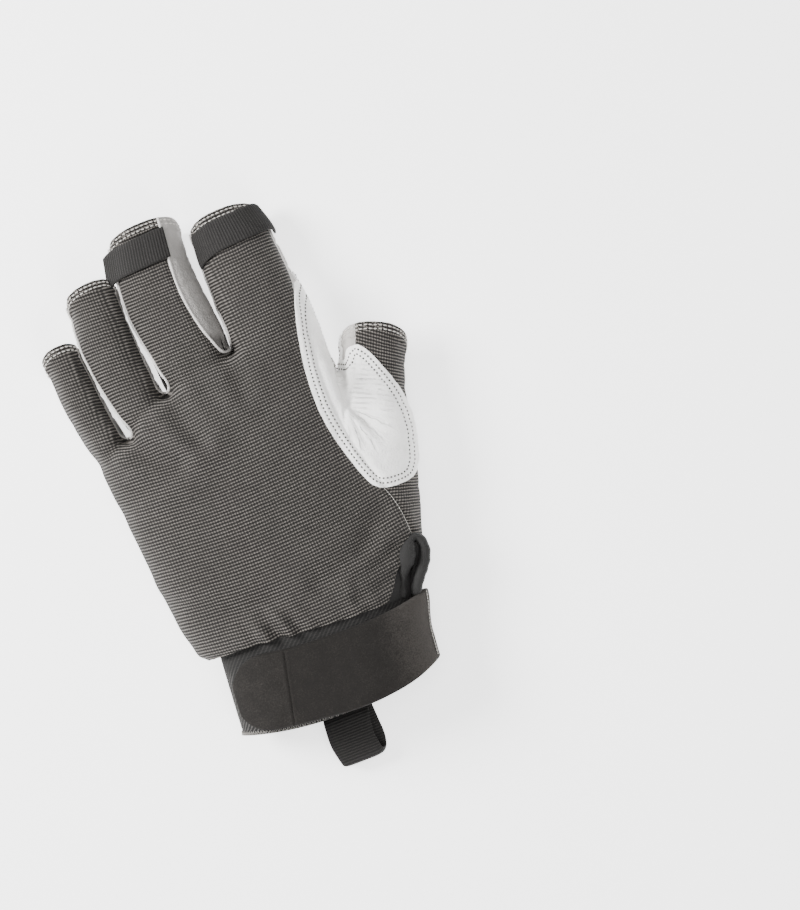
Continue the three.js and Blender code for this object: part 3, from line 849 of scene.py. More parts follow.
def through(points, step):
    """A smooth curve through points, evenly spaced."""
    points = np.array(points, float)
    padded = np.concatenate([[2 * points[0] - points[1]], points, [2 * points[-1] - points[-2]]])
    t = np.linspace(0, 1, 24, endpoint=False)[:, None]
    fine = []
    for a, b, c, d in zip(padded[:-3], padded[1:-2], padded[2:-1], padded[3:]):
        bend = (2 * a - 5 * b + 4 * c - d) * t**2 + (3 * b - a - 3 * c + d) * t**3
        fine.append(0.5 * (2 * b + (c - a) * t + bend))
    return evenly(np.concatenate(fine + [points[-1:]]), step)


def run_lengths(line):
    """How far along a line each of its points lies."""
    return np.concatenate([[0], np.cumsum(np.linalg.norm(np.diff(line, axis=0), axis=1))])


def evenly(points, step):
    """The same line with its points about a step apart."""
    lengths = run_lengths(points)
    count = max(2, int(round(lengths[-1] / step)) + 1)
    places = np.linspace(0, lengths[-1], count)
    return np.stack([np.interp(places, lengths, points[:, k]) for k in range(points.shape[1])], 1)


def tube(name, centres, first, second, outline):
    """A closed body swept along centres. The outline's two columns go along first and second."""
    rows, columns = len(centres), outline.shape[-2]
    outline = np.broadcast_to(outline, (rows, columns, 2))
    points = centres[:, None] + first[:, None] * outline[..., :1] + second[:, None] * outline[..., 1:]
    near_end = tuple(range(columns))
    far_end = tuple((rows - 1) * columns + j for j in reversed(range(columns)))
    faces = grid_faces(rows, columns, True) + [near_end, far_end]
    return face_outwards(make_object(name, points.reshape(-1, 3), faces))


# The wrist: cuff, strap, gusset and loop

# Stations: y, x of the middle, bow, low, high, skew
CUFF_ROWS = [
    (1.0, 0.0, 5.5, 2.0, 31.45, -0.03),
    (15.5, 1.6, 1.8, 2.0, 33.0, -0.05),
    (36.0, 4.0, 0.0, 2.0, 33.0, -0.075),
]
CUFF_HALF = 40.0
# Its wall, lowest height, the pitch of its ribs and how fast they lean, and its binding
CUFF_WALL = 1.9
CUFF_FLOOR = 1.75
CUFF_RIB = 2.0
CUFF_SLANT = 1.9
OVERLOCK_THREADS = 260
OVERLOCK_Y = 1.7


def oval_point(turn, half, low, high):
    """Across and up, on an oval, at a turn from the thumb side over the back."""
    waist = low + (high - low) * WAIST
    cos, sin = np.cos(turn), np.sin(turn)
    across = half * np.sign(cos) * np.abs(cos) ** SHOULDER_POWER
    rise = np.abs(sin) ** DOME_POWER
    below = np.maximum(low, waist - (waist - low) * BELLY * rise)
    return across, np.where(sin > 0, waist + (high - waist) * rise, below)


def cuff_point(y, turn, grow):
    """A point on the wrist at a station y. grow is how far outwards it lies."""
    middle, bow, low, high, skew = (smooth_table(y, CUFF_ROWS, k) for k in range(1, 6))
    across, up = oval_point(turn, CUFF_HALF + grow, low - grow, high + grow)
    along = skew * across - bow * (1 - (across / CUFF_HALF) ** 2)
    return np.stack([middle + across, y + along, up], -1)


def cuff_at(y, turn, grow):
    """A point on the wrist at a true y."""
    station = y.copy()
    for _ in range(4):
        station += y - cuff_point(station, turn, grow)[..., 1]
    return cuff_point(station, turn, grow)


def make_cuff():
    """Elastic with slanted ribs and an overlocked lower edge."""
    columns, rows = ((640, 48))
    turns = np.linspace(0, 2 * math.pi, columns, endpoint=False)
    turn, y = np.meshgrid(turns, np.linspace(CUFF_ROWS[0][0], CUFF_ROWS[-1][0], rows))
    base = cuff_point(y, turn, 0)
    arc = np.cumsum(np.linalg.norm(np.roll(base, -1, axis=1) - base, axis=2), axis=1)
    whole = arc[:, -1:]
    ribs = np.round(whole.mean() / CUFF_RIB)
    phase = arc / whole * ribs + y / CUFF_SLANT
    rib = 0.16 * np.sin(2 * math.pi * phase) * ramp(y, 2.5, 4.0)
    edge = 0.35 * ramp(-y, -3.2, -2.0)
    outer = cuff_point(y, turn, -0.3 + rib + edge)
    inner = cuff_point(y, turn, -CUFF_WALL)
    outer[..., 2] = np.maximum(outer[..., 2], CUFF_FLOOR)
    maps = {"Knit": np.stack([phase, y], -1)[::-1]}
    return slab("cuff_band", outer[::-1], inner[::-1], closed=True, maps=maps)


def cuff_overlock():
    """Places of the threads that bind the cuff's lower edge: point, way and outward."""
    turn = np.linspace(0, 2 * math.pi, OVERLOCK_THREADS, endpoint=False)
    y = np.full(len(turn), OVERLOCK_Y)
    place = cuff_point(y, turn, 0.1)
    outward = cuff_point(y, turn, 1.1) - place
    onward = unit(cuff_point(y, turn + 0.01, 0.1) - place)
    slant = np.where(np.arange(len(turn)) % 2, 0.7, -0.5)
    return np.concatenate([place, onward * slant[:, None] + [0, 1, 0], outward], 1)


# The strap's free end: x, its rounding, and the y of its middle
STRAP_END = -38.0
STRAP_ROUND = 14.0
STRAP_MIDDLE = 15.8
STRAP_THICK = 2.3
STRAP_THUMB_TURN = math.radians(-17)
# The strap's lower and upper edge in plan: x, lower y, upper y
STRAP_ROWS = [
    (-40, 1.8, 31.0), (-26.2, -0.3, 29.4), (-11, -2.5, 27.1), (8.2, -4.8, 25.5), (20.9, -4.7, 25.1),
    (33.9, -3.0, 25.6), (41, -0.8, 26.7), (50, 3.0, 29.2),
]
# A crease across the strap, in plan
STRAP_CREASE = [(-13.6, 28.0), (-15.2, 18.0), (-16.6, 9.0), (-18.6, -3.0)]


def strap_edges(x):
    """The strap's lower and upper edge in plan."""
    lower = smooth_table(x, STRAP_ROWS, 1)
    upper = smooth_table(x, STRAP_ROWS, 2)
    inward = np.clip((STRAP_END + STRAP_ROUND - x) / STRAP_ROUND, 0, 1)
    upper = STRAP_MIDDLE + (upper - STRAP_MIDDLE) * (1 - inward**2.2) ** (1 / 2.2)
    lower = STRAP_MIDDLE + (lower - STRAP_MIDDLE) * (1 - inward**2.6) ** (1 / 2.6)
    return lower, upper


def strap_flare(x, y):
    """How far the strap stands off the cuff."""
    return 0.45 + 2.4 * ramp(y, 10, 28) * ramp(x, 26, 44)


def strap_whipping():
    """Places of the threads over the strap's thumb-side edge: point, way and outward."""
    y = np.arange(2.6, 27.6, 1.25)
    turn = np.full(len(y), math.radians(14))
    grow = strap_flare(np.full(len(y), 44.0), y) + STRAP_THICK
    place = cuff_at(y, turn, grow)
    outward = cuff_at(y, turn, grow + 1) - place
    onward = unit(cuff_at(y, turn - 0.02, grow) - place)
    return np.concatenate([place, onward + [0, 0.6, 0], outward], 1)


def strap_columns(columns):
    """Turns round the wrist and their x, closer together at the strap's rounded end."""
    middle = 1.0
    reach = CUFF_HALF + 3
    swing = np.linspace(0, math.pi / 2, columns // 4, endpoint=False)
    end_x = STRAP_END + STRAP_ROUND * (1 - np.cos(swing)) + 0.02
    end_turn = np.arccos(-(np.abs(end_x - middle) / reach) ** (1 / SHOULDER_POWER))
    rest = np.linspace(end_turn[-1], STRAP_THUMB_TURN, columns - len(end_turn) + 1)[1:]
    turns = np.concatenate([end_turn, rest])
    x = middle + reach * np.sign(np.cos(turns)) * np.abs(np.cos(turns)) ** SHOULDER_POWER
    return turns, x


def make_strap():
    """Wide brushed strap, rounded at its free end, over the back of the wrist."""
    columns, rows = ((420, 90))
    turns, x = strap_columns(columns)
    lower, upper = strap_edges(x)
    share = np.linspace(0, 1, rows)
    share = 0.5 * (1 - np.cos(math.pi * share)) / 2 + 0.5 * share
    y = lower + (upper - lower) * share[:, None]
    x, turn = np.broadcast_to(x, y.shape), np.broadcast_to(turns, y.shape)
    inset = np.minimum(np.minimum(y - lower, upper - y), np.maximum(x - STRAP_END, 0))
    edge = 1 - (1 - np.clip(inset / 1.3, 0, 1)) ** 2.5
    flat = np.stack([x, y, 0 * y], -1).reshape(-1, 3)
    soft = (0.25 * wobble(flat, 26, 41) + 0.12 * wobble(flat, 8, 42)).reshape(y.shape)
    fold = line_distance(x, y, STRAP_CREASE)
    crease = 0.12 * bell(fold - 1.0, 0.8) - 0.5 * bell(fold, 0.28)
    flare = strap_flare(x, y)
    top = flare + STRAP_THICK * (0.25 + 0.75 * np.sqrt(edge)) + (soft + crease) * edge
    maps = {"Knit": np.stack([x, y], -1)}
    return slab("closure_strap", cuff_at(y, turn, top), cuff_at(y, turn, flare), sharp=60, maps=maps)


# The gusset's fold in plan: x, y, half thickness, top
GUSSET_ROWS = [
    (37.4, 26.4, 1.9, 25.5), (38.4, 29.4, 2.3, 26.5), (40.3, 33.2, 1.3, 26.0), (42.4, 37.2, 2.3, 27.5),
    (45.0, 41.0, 3.5, 29.0), (47.5, 44.8, 3.0, 28.5), (49.8, 47.4, 1.7, 27.0), (52.0, 47.4, 1.6, 26.0),
    (53.3, 45.0, 1.9, 25.5), (53.0, 41.4, 2.2, 25.5), (51.3, 38.0, 2.4, 25.5), (49.0, 35.0, 2.4, 26.0),
    (46.6, 32.0, 2.2, 26.0), (44.4, 29.0, 2.2, 25.5), (42.8, 25.6, 2.0, 24.0),
]
# A fold of the same band between its two legs
GUSSET_FOLD = [
    (50.8, 46.2, 1.2, 23.0), (50.2, 42.6, 1.7, 22.5), (48.7, 39.4, 1.8, 22.0), (47.0, 36.0, 1.9, 22.0),
    (44.8, 32.0, 2.0, 22.0), (41.8, 27.6, 1.9, 21.0),
]


def make_gusset(name, rows):
    """A soft band on edge at the thumb side of the wrist."""
    line = through(rows, 0.3)
    way = unit(np.gradient(line[:, :2], axis=0))
    count = len(line)
    first = np.stack([-way[:, 1], way[:, 0], np.zeros(count)], 1)
    second = np.tile([0.0, 0, 1], (count, 1))
    share = np.linspace(0, 1, count)
    ends = np.minimum(1, np.minimum(share, 1 - share) / 0.03) ** 0.5
    top = line[:, 3] - 2.5 * (1 - ends)
    bottom = np.interp(share, [0, 0.5, 1], [10.5, 8.8, 9.0])
    centres = np.stack([line[:, 0], line[:, 1], (top + bottom) / 2], 1)
    ring = np.linspace(0, 2 * math.pi, 56, endpoint=False)
    cos, sin = np.cos(ring), np.sin(ring)
    shape = np.stack([np.sign(cos) * np.abs(cos) ** 0.9, np.sign(sin) * np.abs(sin) ** 0.35], 1)
    size = np.stack([line[:, 2] * (0.35 + 0.65 * ends), (top - bottom) / 2], 1)
    wrinkle = 1 + 0.07 * np.sin(ring * 9 + 1.5) * np.clip(sin, 0, 1) + 0.04 * np.sin(share * 90)[:, None]
    outline = shape * size[:, None]
    outline[..., 0] *= wrinkle
    return tube(name, centres, first, second, outline)


# Tapes: the wrist's loop and the two tabs
WEBBING_RIB = 1.1
TAPE_COLUMNS = 26
TAPE_THICK = 1.1
TAPE_STEP = 0.16


def make_tape(name, base):
    """Ribbed tape around a middle surface: rows go along it, columns across it."""
    outward = unit(np.cross(np.gradient(base, axis=1), np.gradient(base, axis=0)))
    share = np.linspace(-1, 1, TAPE_COLUMNS)
    full = 0.45 + 0.55 * (1 - share**8) ** 0.5
    lengths = run_lengths(base[:, TAPE_COLUMNS // 2])
    rib = 0.1 * np.sin(2 * math.pi * lengths / WEBBING_RIB)
    lift = outward * ((TAPE_THICK / 2 + rib)[:, None] * full)[..., None]
    width = np.linalg.norm(base[:, -1] - base[:, 0], axis=1)
    across = share * width[:, None] / 2
    maps = {"Knit": np.stack([across, np.broadcast_to(lengths[:, None], across.shape)], -1)}
    return slab(name, base + lift, base - lift, sharp=70, maps=maps)


# The pull loop from its end under the cuff, out past the edge and back inside: y, z
LOOP_PATH = [
    (26, 0.78), (1.5, 0.78), (-6.5, 0.85), (-19.5, 1.1), (-24.0, 2.2), (-25.35, 5.1),
    (-23.2, 8.4), (-9.5, 8.3), (-4.5, 5.6), (1.5, 5.2), (9.5, 5.1),
]
# Its middle and width, at shares of its length: share, x of the middle, width
LOOP_ROWS = [
    (0.0, 0.9, 18.8), (0.3, 0.9, 18.8), (0.42, 1.2, 18.6), (0.5, 1.5, 18.0), (0.565, 0.5, 17.4),
    (0.635, -0.9, 17.2), (0.7, -1.7, 17.6), (0.8, -0.8, 18.4), (0.86, 0.1, 18.8), (1.0, 0.3, 18.9),
]


def make_loop():
    """The wrist's webbing, bent back on itself, with its corners drawn in at the bend."""
    line = through(LOOP_PATH, TAPE_STEP)
    share = np.linspace(0, 1, len(line))[:, None]
    side = np.linspace(-1, 1, TAPE_COLUMNS)
    x = smooth_table(share, LOOP_ROWS, 1) + side * smooth_table(share, LOOP_ROWS, 2) / 2
    y = line[:, :1] - 0.03 * x * ramp(share, 0.45, 0.6) * (1 - ramp(share, 0.8, 0.95))
    corner = np.where(side > 0, 1.7, 0.4) * side**6
    y = y + corner * bell(line[:, :1] - LOOP_TIP_Y, 2.6)
    return make_tape("wrist_pull_loop", np.stack([x, y, line[:, 1:] + 0 * x], -1))


# Pull tabs: where along the finger, the turns of the two ends, the lean, how far the first end stands off
# and rises, how far both ends droop, and how much less the tape's front edge droops than its rear edge
TABS = {
    "index_pull_tab": {
        "finger": "index", "along": 43.0, "turns": (158, -8), "lean": 0.045,
        "stand": 0.0, "rise": 0.0, "droops": (2.4, 1.9), "spread": -0.29,
    },
    "middle_pull_tab": {
        "finger": "middle", "along": 52.2, "turns": (176, 60), "lean": 0.03,
        "stand": 2.4, "rise": 3.4, "droops": (2.0, 0.0), "spread": -0.25,
    },
}
TAB_WIDTH = 12.0
TAB_CLEAR = 1.35


def make_tab(name, row):
    """Tape over a fingertip's back, from seam to seam, following the finger's taper."""
    part = FINGERS[row["finger"]]
    lean = math.radians(part["lean"])
    side = np.linspace(-1, 1, TAPE_COLUMNS)

    def surface(share):
        turn = np.radians(row["turns"][0] + (row["turns"][1] - row["turns"][0]) * share)[:, None]
        along = row["along"] + side * TAB_WIDTH / 2
        offset, half, high = (smooth_table(along, part["rows"], column) for column in (1, 2, 3))
        across, up = oval_point(turn, half + TAB_CLEAR, -TAB_CLEAR, high + TAB_CLEAR)
        loose = np.clip(1 - share / 0.34, 0, 1)[:, None] ** 1.6
        second = np.clip((share - 0.74) / 0.26, 0, 1)[:, None] ** 1.6
        across = across + offset - row["stand"] * loose
        droop = row["droops"][0] * loose * (1 + row["spread"] * side) + row["droops"][1] * second
        along = along + row["lean"] * across - droop
        x = part["origin"][0] + math.sin(lean) * along + math.cos(lean) * across
        y = part["origin"][1] + math.cos(lean) * along - math.sin(lean) * across
        return np.stack([x, y, up + row["rise"] * loose], -1)

    trial = np.linspace(0, 1, 400)
    lengths = run_lengths(surface(trial)[:, TAPE_COLUMNS // 2])
    count = int(lengths[-1] / TAPE_STEP)
    return make_tape(name, surface(np.interp(np.linspace(0, lengths[-1], count), lengths, trial)))


# Seams between the fingers: the leather's rolled edge


def smoothed(points, rounds):
    """Evens out a line's small steps and keeps its ends."""
    for _ in range(rounds):
        middle = (points[:-2] + 2 * points[1:-1] + points[2:]) / 4
        points = np.concatenate([points[:1], middle, points[-1:]])
    return points


def make_seam_rolls(sheet):
    """The leather's rolled edge round each gap, which ends early on its little-finger side."""
    places, ups, pairs = sheet.line("back", 0.12)
    seam = rounded(BACK_SEAM)
    ring = np.linspace(0, 2 * math.pi, 10, endpoint=False)
    rolls = []
    for run in chains(pairs, len(places)):
        line = np.concatenate([places[run], ups[run]], 1)
        middle = line[len(line) // 2]
        if len(line) < 40 or middle[1] < 122 or not -50 < middle[0] < 17:
            continue
        line = evenly(smoothed(evenly(line, 0.5), 10), ROLL_STEP)
        if line[0, 0] < line[-1, 0]:
            line = line[::-1]
        narrow = middle[0] < 0
        if narrow:
            line = line[:int(line[:, 1].argmin() + ROLL_REACH / ROLL_STEP)]
        way = unit(np.gradient(line[:, :3], axis=0))
        up = unit(line[:, 3:] - way * (line[:, 3:] * way).sum(1)[:, None])
        side = np.cross(up, way)
        ahead, behind = (line[:, :3] + side * step for step in (0.6, -0.6))
        inward = plan_distance(*ahead[:, :2].T, seam) > plan_distance(*behind[:, :2].T, seam)
        side *= -1 if inward.mean() > 0.5 else 1
        share = np.linspace(0, 1, len(line))
        size = ROLL_RADIUS + 0.05 * np.sin(share * 61) + 0.04 * np.sin(share * 143)
        if narrow:
            size = size * np.clip((1 - share) * len(line) * ROLL_STEP / 5 + 0.15, 0, 1)
        outline = np.stack([np.cos(ring), np.sin(ring)], -1) * size[:, None, None]
        centres = line[:, :3] + side * 0.25 + up * 0.26
        rolls.append(tube(f"seam_roll_{len(rolls) + 1}", centres, side, up, outline))
    return rolls


# Stitches

THREAD_SIDES = 8
THREAD_RINGS = 5
# Rows of stitches in each hem, from the mouth, and the steps between stitches
HEM_ROWS = (1.3, 2.9)
HEM_PITCH = 1.9
PATCH_PITCH = 1.6
VENT_PITCH = 1.3
# Threads: their finish, length, radius, and how far they lie above the surface
STITCHES = {
    "hem_stitches": ("thread", 0.72, 0.27, 0.12),
    # The patch's threads are dark and sunk in: painted shade of the stitch holes
    "patch_stitches": ("hole_thread", 0.46, 0.4, -0.05),
    "vent_stitches": ("thread", 0.66, 0.12, 0.12),
    "cuff_overlock": ("binding_thread", 1.0, 0.14, 0.12),
    "strap_whipping": ("thread", 1.05, 0.2, 0.25),
}


def chains(pairs, count):
    """Joins pairs of numbers into runs."""
    near = [[] for _ in range(count)]
    for a, b in pairs:
        near[a].append(b)
        near[b].append(a)
    seen = [False] * count
    runs = []
    for start in [i for i in range(count) if len(near[i]) == 1] + list(range(count)):
        if seen[start] or not near[start]:
            continue
        seen[start] = True
        run = [start]
        while True:
            onward = [n for n in near[run[-1]] if not seen[n]]
            if not onward:
                break
            seen[onward[0]] = True
            run.append(onward[0])
        if len(run) > 2 and start in near[run[-1]]:
            run.append(start)
        runs.append(run)
    return runs


def stitch_row(sheet, name, level, pitch):
    """Places of stitches along a level of a value: point, direction and surface normal of each."""
    places, ups, pairs = sheet.line(name, level)
    rows = [np.zeros((0, 9))]
    for run in chains(pairs, len(places)):
        line = np.concatenate([places[run], ups[run]], 1)
        lengths = run_lengths(line[:, :3])
        count = int(lengths[-1] / pitch)
        if count < 2:
            continue
        spots = (np.arange(count) + 0.5) * lengths[-1] / count
        even = np.stack([np.interp(spots, lengths, column) for column in line.T], 1)
        rows.append(np.concatenate([even[:, :3], np.gradient(even[:, :3], axis=0), even[:, 3:]], 1))
    return np.concatenate(rows)


def add_node(tree, kind, settings=None, inputs=()):
    """A node with its settings, then its sockets: each gets a value, or a link from a socket or wire."""
    node = tree.nodes.new(kind)
    for key, value in (settings or {}).items():
        setattr(node, key, value)
    for key, value in inputs.items() if isinstance(inputs, dict) else enumerate(inputs):
        value = value.socket if isinstance(value, Wire) else value
        if isinstance(value, bpy.types.NodeSocket):
            tree.links.new(value, node.inputs[key])
        else:
            node.inputs[key].default_value = value
    return node


def stitch_nodes(material, length, radius):
    """Geometry Nodes that put a short thread on each vertex, along its way."""
    group = bpy.data.node_groups.new("threads", "GeometryNodeTree")
    sizes = {}
    for way in ("INPUT", "OUTPUT"):
        group.interface.new_socket(name="Geometry", in_out=way, socket_type="NodeSocketGeometry")
    for name, size in (("Length", length), ("Radius", radius)):
        socket = group.interface.new_socket(name=name, in_out="INPUT", socket_type="NodeSocketFloat")
        sizes[socket.identifier] = size
    given = add_node(group, "NodeGroupInput").outputs
    ball = {"Segments": THREAD_SIDES, "Rings": THREAD_RINGS, "Radius": 1.0}
    thread = add_node(group, "GeometryNodeMeshUVSphere", None, ball)
    axes = [given["Radius"], given["Radius"], given["Length"]]
    size = add_node(group, "ShaderNodeCombineXYZ", None, axes)
    shaping = {"Geometry": thread.outputs["Mesh"], "Scale": size.outputs[0]}
    shaped = add_node(group, "GeometryNodeTransform", None, shaping)
    way = add_node(group, "GeometryNodeInputNamedAttribute", {"data_type": "FLOAT_VECTOR"}, {"Name": "way"})
    along_way = {"Vector": way.outputs["Attribute"]}
    turn = add_node(group, "FunctionNodeAlignRotationToVector", {"axis": "Z"}, along_way)
    spread = add_node(group, "GeometryNodeInstanceOnPoints", None, {
        "Points": given["Geometry"],
        "Instance": shaped.outputs["Geometry"],
        "Rotation": turn.outputs["Rotation"],
    })
    real = add_node(group, "GeometryNodeRealizeInstances", None, {"Geometry": spread.outputs["Instances"]})
    dressing = {"Geometry": real.outputs["Geometry"], "Material": material}
    dressed = add_node(group, "GeometryNodeSetMaterial", None, dressing)
    add_node(group, "NodeGroupOutput", None, {"Geometry": dressed.outputs["Geometry"]})
    return group, sizes


def make_stitches(name, rows, material, length, radius, rise):
    """Threads of one kind as one plain mesh."""
    up = unit(rows[:, 6:9])
    way = unit(rows[:, 3:6] - up * (rows[:, 3:6] * up).sum(1)[:, None])
    places = rows[:, :3] + up * rise
    places[:, 2] = np.maximum(places[:, 2], radius + 0.02)
    mesh = bpy.data.meshes.new(name + "_spots")
    mesh.from_pydata(placed(places).tolist(), [], [])
    layer = mesh.attributes.new("way", "FLOAT_VECTOR", "POINT")
    layer.data.foreach_set("vector", way.ravel())
    spots = add_object(name + "_spots", mesh)
    group, sizes = stitch_nodes(material, length * MM, radius * MM)
    modifier = spots.modifiers.new("threads", "NODES")
    modifier.node_group = group
    for identifier, value in sizes.items():
        modifier[identifier] = value
    spots.update_tag()
    graph = bpy.context.evaluated_depsgraph_get()
    made = bpy.data.meshes.new_from_object(spots.evaluated_get(graph), depsgraph=graph)
    made.name = name
    corners = np.zeros(len(made.vertices) * 3)
    made.vertices.foreach_get("co", corners)
    corners[2::3] = np.maximum(corners[2::3], 0)
    made.vertices.foreach_set("co", corners)
    spots.modifiers.remove(modifier)
    bpy.data.objects.remove(spots)
    bpy.data.node_groups.remove(group)
    made.polygons.foreach_set("use_smooth", [True] * len(made.polygons))
    return add_object(name, made)


# Finishes


class Wire:
    """A shader socket that takes part in sums."""

    def __init__(self, finish, socket):
        self.finish = finish
        self.socket = socket

    def do(self, operation, *others):
        node = self.finish.add("ShaderNodeMath", {"operation": operation}, [self, *others])
        return Wire(self.finish, node.outputs[0])

    def __add__(self, other):
        return self.do("ADD", other)

    __radd__ = __add__

    def __mul__(self, other):
        return self.do("MULTIPLY", other)

    __rmul__ = __mul__

    def __sub__(self, other):
        return self.do("SUBTRACT", other)

    def __rsub__(self, other):
        return self.do("MULTIPLY", -1.0) + other

    def __truediv__(self, other):
        return self.do("DIVIDE", other)

    def wave(self, pitch):
        """From -1 to 1 and back in each pitch."""
        return (self * (2 * math.pi / pitch)).do("SINE")

    def smooth(self, low, high):
        settings = {"interpolation_type": "SMOOTHSTEP"}
        node = self.finish.add("ShaderNodeMapRange", settings, [self, low, high, 0.0, 1.0])
        return Wire(self.finish, node.outputs[0])


class Finish:
    """A material: one surface shader and what feeds it."""

    def __init__(self, name, **constants):
        self.material = bpy.data.materials.new(name)
        self.material.use_nodes = True
        self.tree = self.material.node_tree
        self.shader = self.tree.nodes["Principled BSDF"]
        for key, value in constants.items():
            self.shader.inputs[key.replace("_", " ")].default_value = value

    def add(self, kind, settings=None, inputs=()):
        return add_node(self.tree, kind, settings, inputs)

    def place(self):
        """Object coordinates, in millimetres."""
        object_place = self.add("ShaderNodeTexCoord").outputs["Object"]
        inputs = {"Vector": object_place, "Scale": 1 / MM}
        return Wire(self, self.add("ShaderNodeVectorMath", {"operation": "SCALE"}, inputs).outputs[0])

    def parts(self, wire):
        node = self.add("ShaderNodeSeparateXYZ", inputs=[wire])
        return [Wire(self, node.outputs[k]) for k in range(3)]

    def vector(self, *parts):
        return Wire(self, self.add("ShaderNodeCombineXYZ", inputs=list(parts)).outputs[0])

    def knit(self):
        node = self.add("ShaderNodeUVMap", {"uv_map": "Knit"})
        return self.parts(Wire(self, node.outputs[0]))[:2]

    def attribute(self, name):
        node = self.add("ShaderNodeAttribute", {"attribute_name": name})
        return Wire(self, node.outputs["Fac"])

    def noise(self, place, scale, detail=3.0, roughness=0.55):
        inputs = {"Vector": place, "Scale": 1 / scale, "Detail": detail, "Roughness": roughness}
        return Wire(self, self.add("ShaderNodeTexNoise", {}, inputs).outputs[0])

    def cells(self, place, scale):
        settings = {"feature": "DISTANCE_TO_EDGE"}
        node = self.add("ShaderNodeTexVoronoi", settings, {"Vector": place, "Scale": 1 / scale})
        return Wire(self, node.outputs["Distance"])

    def mix(self, share, first, second):
        first, second = ((*tone, 1.0) if isinstance(tone, tuple) else tone for tone in (first, second))
        node = self.add("ShaderNodeMix", {"data_type": "RGBA"}, {0: share, 6: first, 7: second})
        return Wire(self, node.outputs[2])

    def colour(self, wire):
        self.tree.links.new(wire.socket, self.shader.inputs["Base Color"])

    def rough(self, wire):
        self.tree.links.new(wire.socket, self.shader.inputs["Roughness"])

    def bump(self, height, depth):
        """Depth in millimetres, for a height from 0 to 1."""
        node = self.add("ShaderNodeBump", {}, {"Strength": 1.0, "Distance": depth * MM, "Height": height})
        self.tree.links.new(node.outputs["Normal"], self.shader.inputs["Normal"])


FABRIC_DARK = (0.0085, 0.0077, 0.0068)
FABRIC_LIGHT = (0.205, 0.187, 0.171)
# LEATHER and ROLLED are one leather: LEATHER is set darker, as painted shade for the gaps and walls between
# the fingers where it mostly lies
LEATHER = (0.38, 0.363, 0.346)
ROLLED = (0.52, 0.5, 0.48)
PATCH = (0.93, 0.92, 0.9)
LINING = (0.02, 0.019, 0.018)
ELASTIC = (0.0083, 0.0079, 0.0075)
FELT = (0.0098, 0.0088, 0.008)
TAPE = (0.0056, 0.0051, 0.0047)
THREAD = (0.46, 0.44, 0.41)
# Near black: the patch's threads carry the painted shade of their stitch holes
HOLE_SHADE_THREAD = (0.05, 0.046, 0.042)
BINDING_THREAD = (0.2, 0.19, 0.175)
RIB_PITCH = 1.28
YARN_PITCH = 1.1


def ribbed_fabric(name, painted_light):
    """Knit with raised ribs across the hand, lighter yarn on the ribs, and painted light: lighter on its
    sloped sides, and scaled by a painted-light factor.
    """
    made = Finish(name, Roughness=0.85, Specular_IOR_Level=0.3)
    place = made.place()
    across, along = made.knit()
    soft = made.noise(place, 7.0)
    along = along + (soft - 0.5) * 0.5
    across = across + (soft - 0.5) * 0.5
    rib = along.wave(RIB_PITCH)
    yarn = across.wave(YARN_PITCH)
    fine = made.noise(place, 0.4, 2.0)
    rough = made.noise(place, 12.0, 4.0, 0.7)
    slope = made.attribute("slope").smooth(0.05, 0.5)
    grid = rib * 0.5 + yarn * (0.3 - slope * 0.27) + (fine - 0.5) * 1.1
    hem = 1 - made.attribute("rim").smooth(3.8, 4.8)
    # Painted light: the sloped sides are lighter, and the whole is scaled by the painted-light factor
    light = grid.smooth(-0.25, 0.95) * (0.45 + rough * 0.6) * (0.78 + slope * 0.5 + hem * 0.2) * painted_light
    made.colour(made.mix(light, FABRIC_DARK, FABRIC_LIGHT))
    made.bump(rib * 0.42 + yarn * 0.16 + fine * 0.25 + 0.5, 0.42)
    return made.material


def fan_creases(made, place):
    """Thin creases of the patch from 0 to 1: across the thumb, and fanned out below its fold."""
    x, y, _ = made.parts(place)
    lean = math.radians(THUMB["lean"])
    dx = x - float(FAN_CENTRE[0] + ORIGIN[0])
    dy = y - float(FAN_CENTRE[1] + ORIGIN[1])
    along = dx * math.sin(lean) + dy * math.cos(lean)
    across = dx * math.cos(lean) - dy * math.sin(lean)
    turn = along.do("MINIMUM", 0.0).do("ARCTAN2", across.do("MAXIMUM", 0.1))
    sway = made.noise(place, 13.0, 2.0)
    phase = along.do("MAXIMUM", 0.0) / 1.9 + turn * 3.0 + sway * 1.5 + across * 0.03
    reach = (along * along + across * across).do("SQRT")
    near = reach.smooth(1.5, 5.0) * (1 - reach.smooth(12.0, 24.0)) * across.smooth(-0.5, 1.5)
    uneven = made.noise(place, 5.0, 2.0).smooth(0.35, 0.6)
    return phase.wave(1.0).smooth(0.45, 1.0) * near * uneven


def soft_leather(name, tone, grain, creased=False):
    made = Finish(name, Roughness=0.62, Specular_IOR_Level=0.35)
    place = made.place()
    cloud = made.noise(place, 22.0, 4.0, 0.6)
    fine = made.noise(place, 1.1, 3.0, 0.6)
    pores = made.cells(place, 1.5).smooth(0.0, 0.22)
    stretched = made.add("ShaderNodeVectorMath", {"operation": "MULTIPLY"}, [place, (0.35, 1.0, 1.0)])
    wrinkles = made.noise(Wire(made, stretched.outputs[0]), 4.2, 5.0, 0.62)
    dark = tuple(c * 0.84 for c in tone)
    share = (cloud * 0.5 + wrinkles * 0.35 + fine * 0.15).smooth(0.28, 0.62)
    height = wrinkles * 0.9 + pores * 0.16 * grain + fine * 0.2 * grain
    if creased:
        creases = fan_creases(made, place)
        # The creases are cut in by the bump and also painted darker, as painted shade in them
        share = share * (1 - creases * 0.8)
        height = height - creases * 0.9
    unshaded = made.mix(share, dark, tone)
    # Painted shade: the leather's colour goes towards 8% of its tone where the shade attribute is high
    made.colour(made.mix(made.attribute("shade"), unshaded, tuple(c * 0.08 for c in tone)))
    made.rough(fine * 0.2 + 0.5)
    made.bump(height, 0.5)
    return made.material


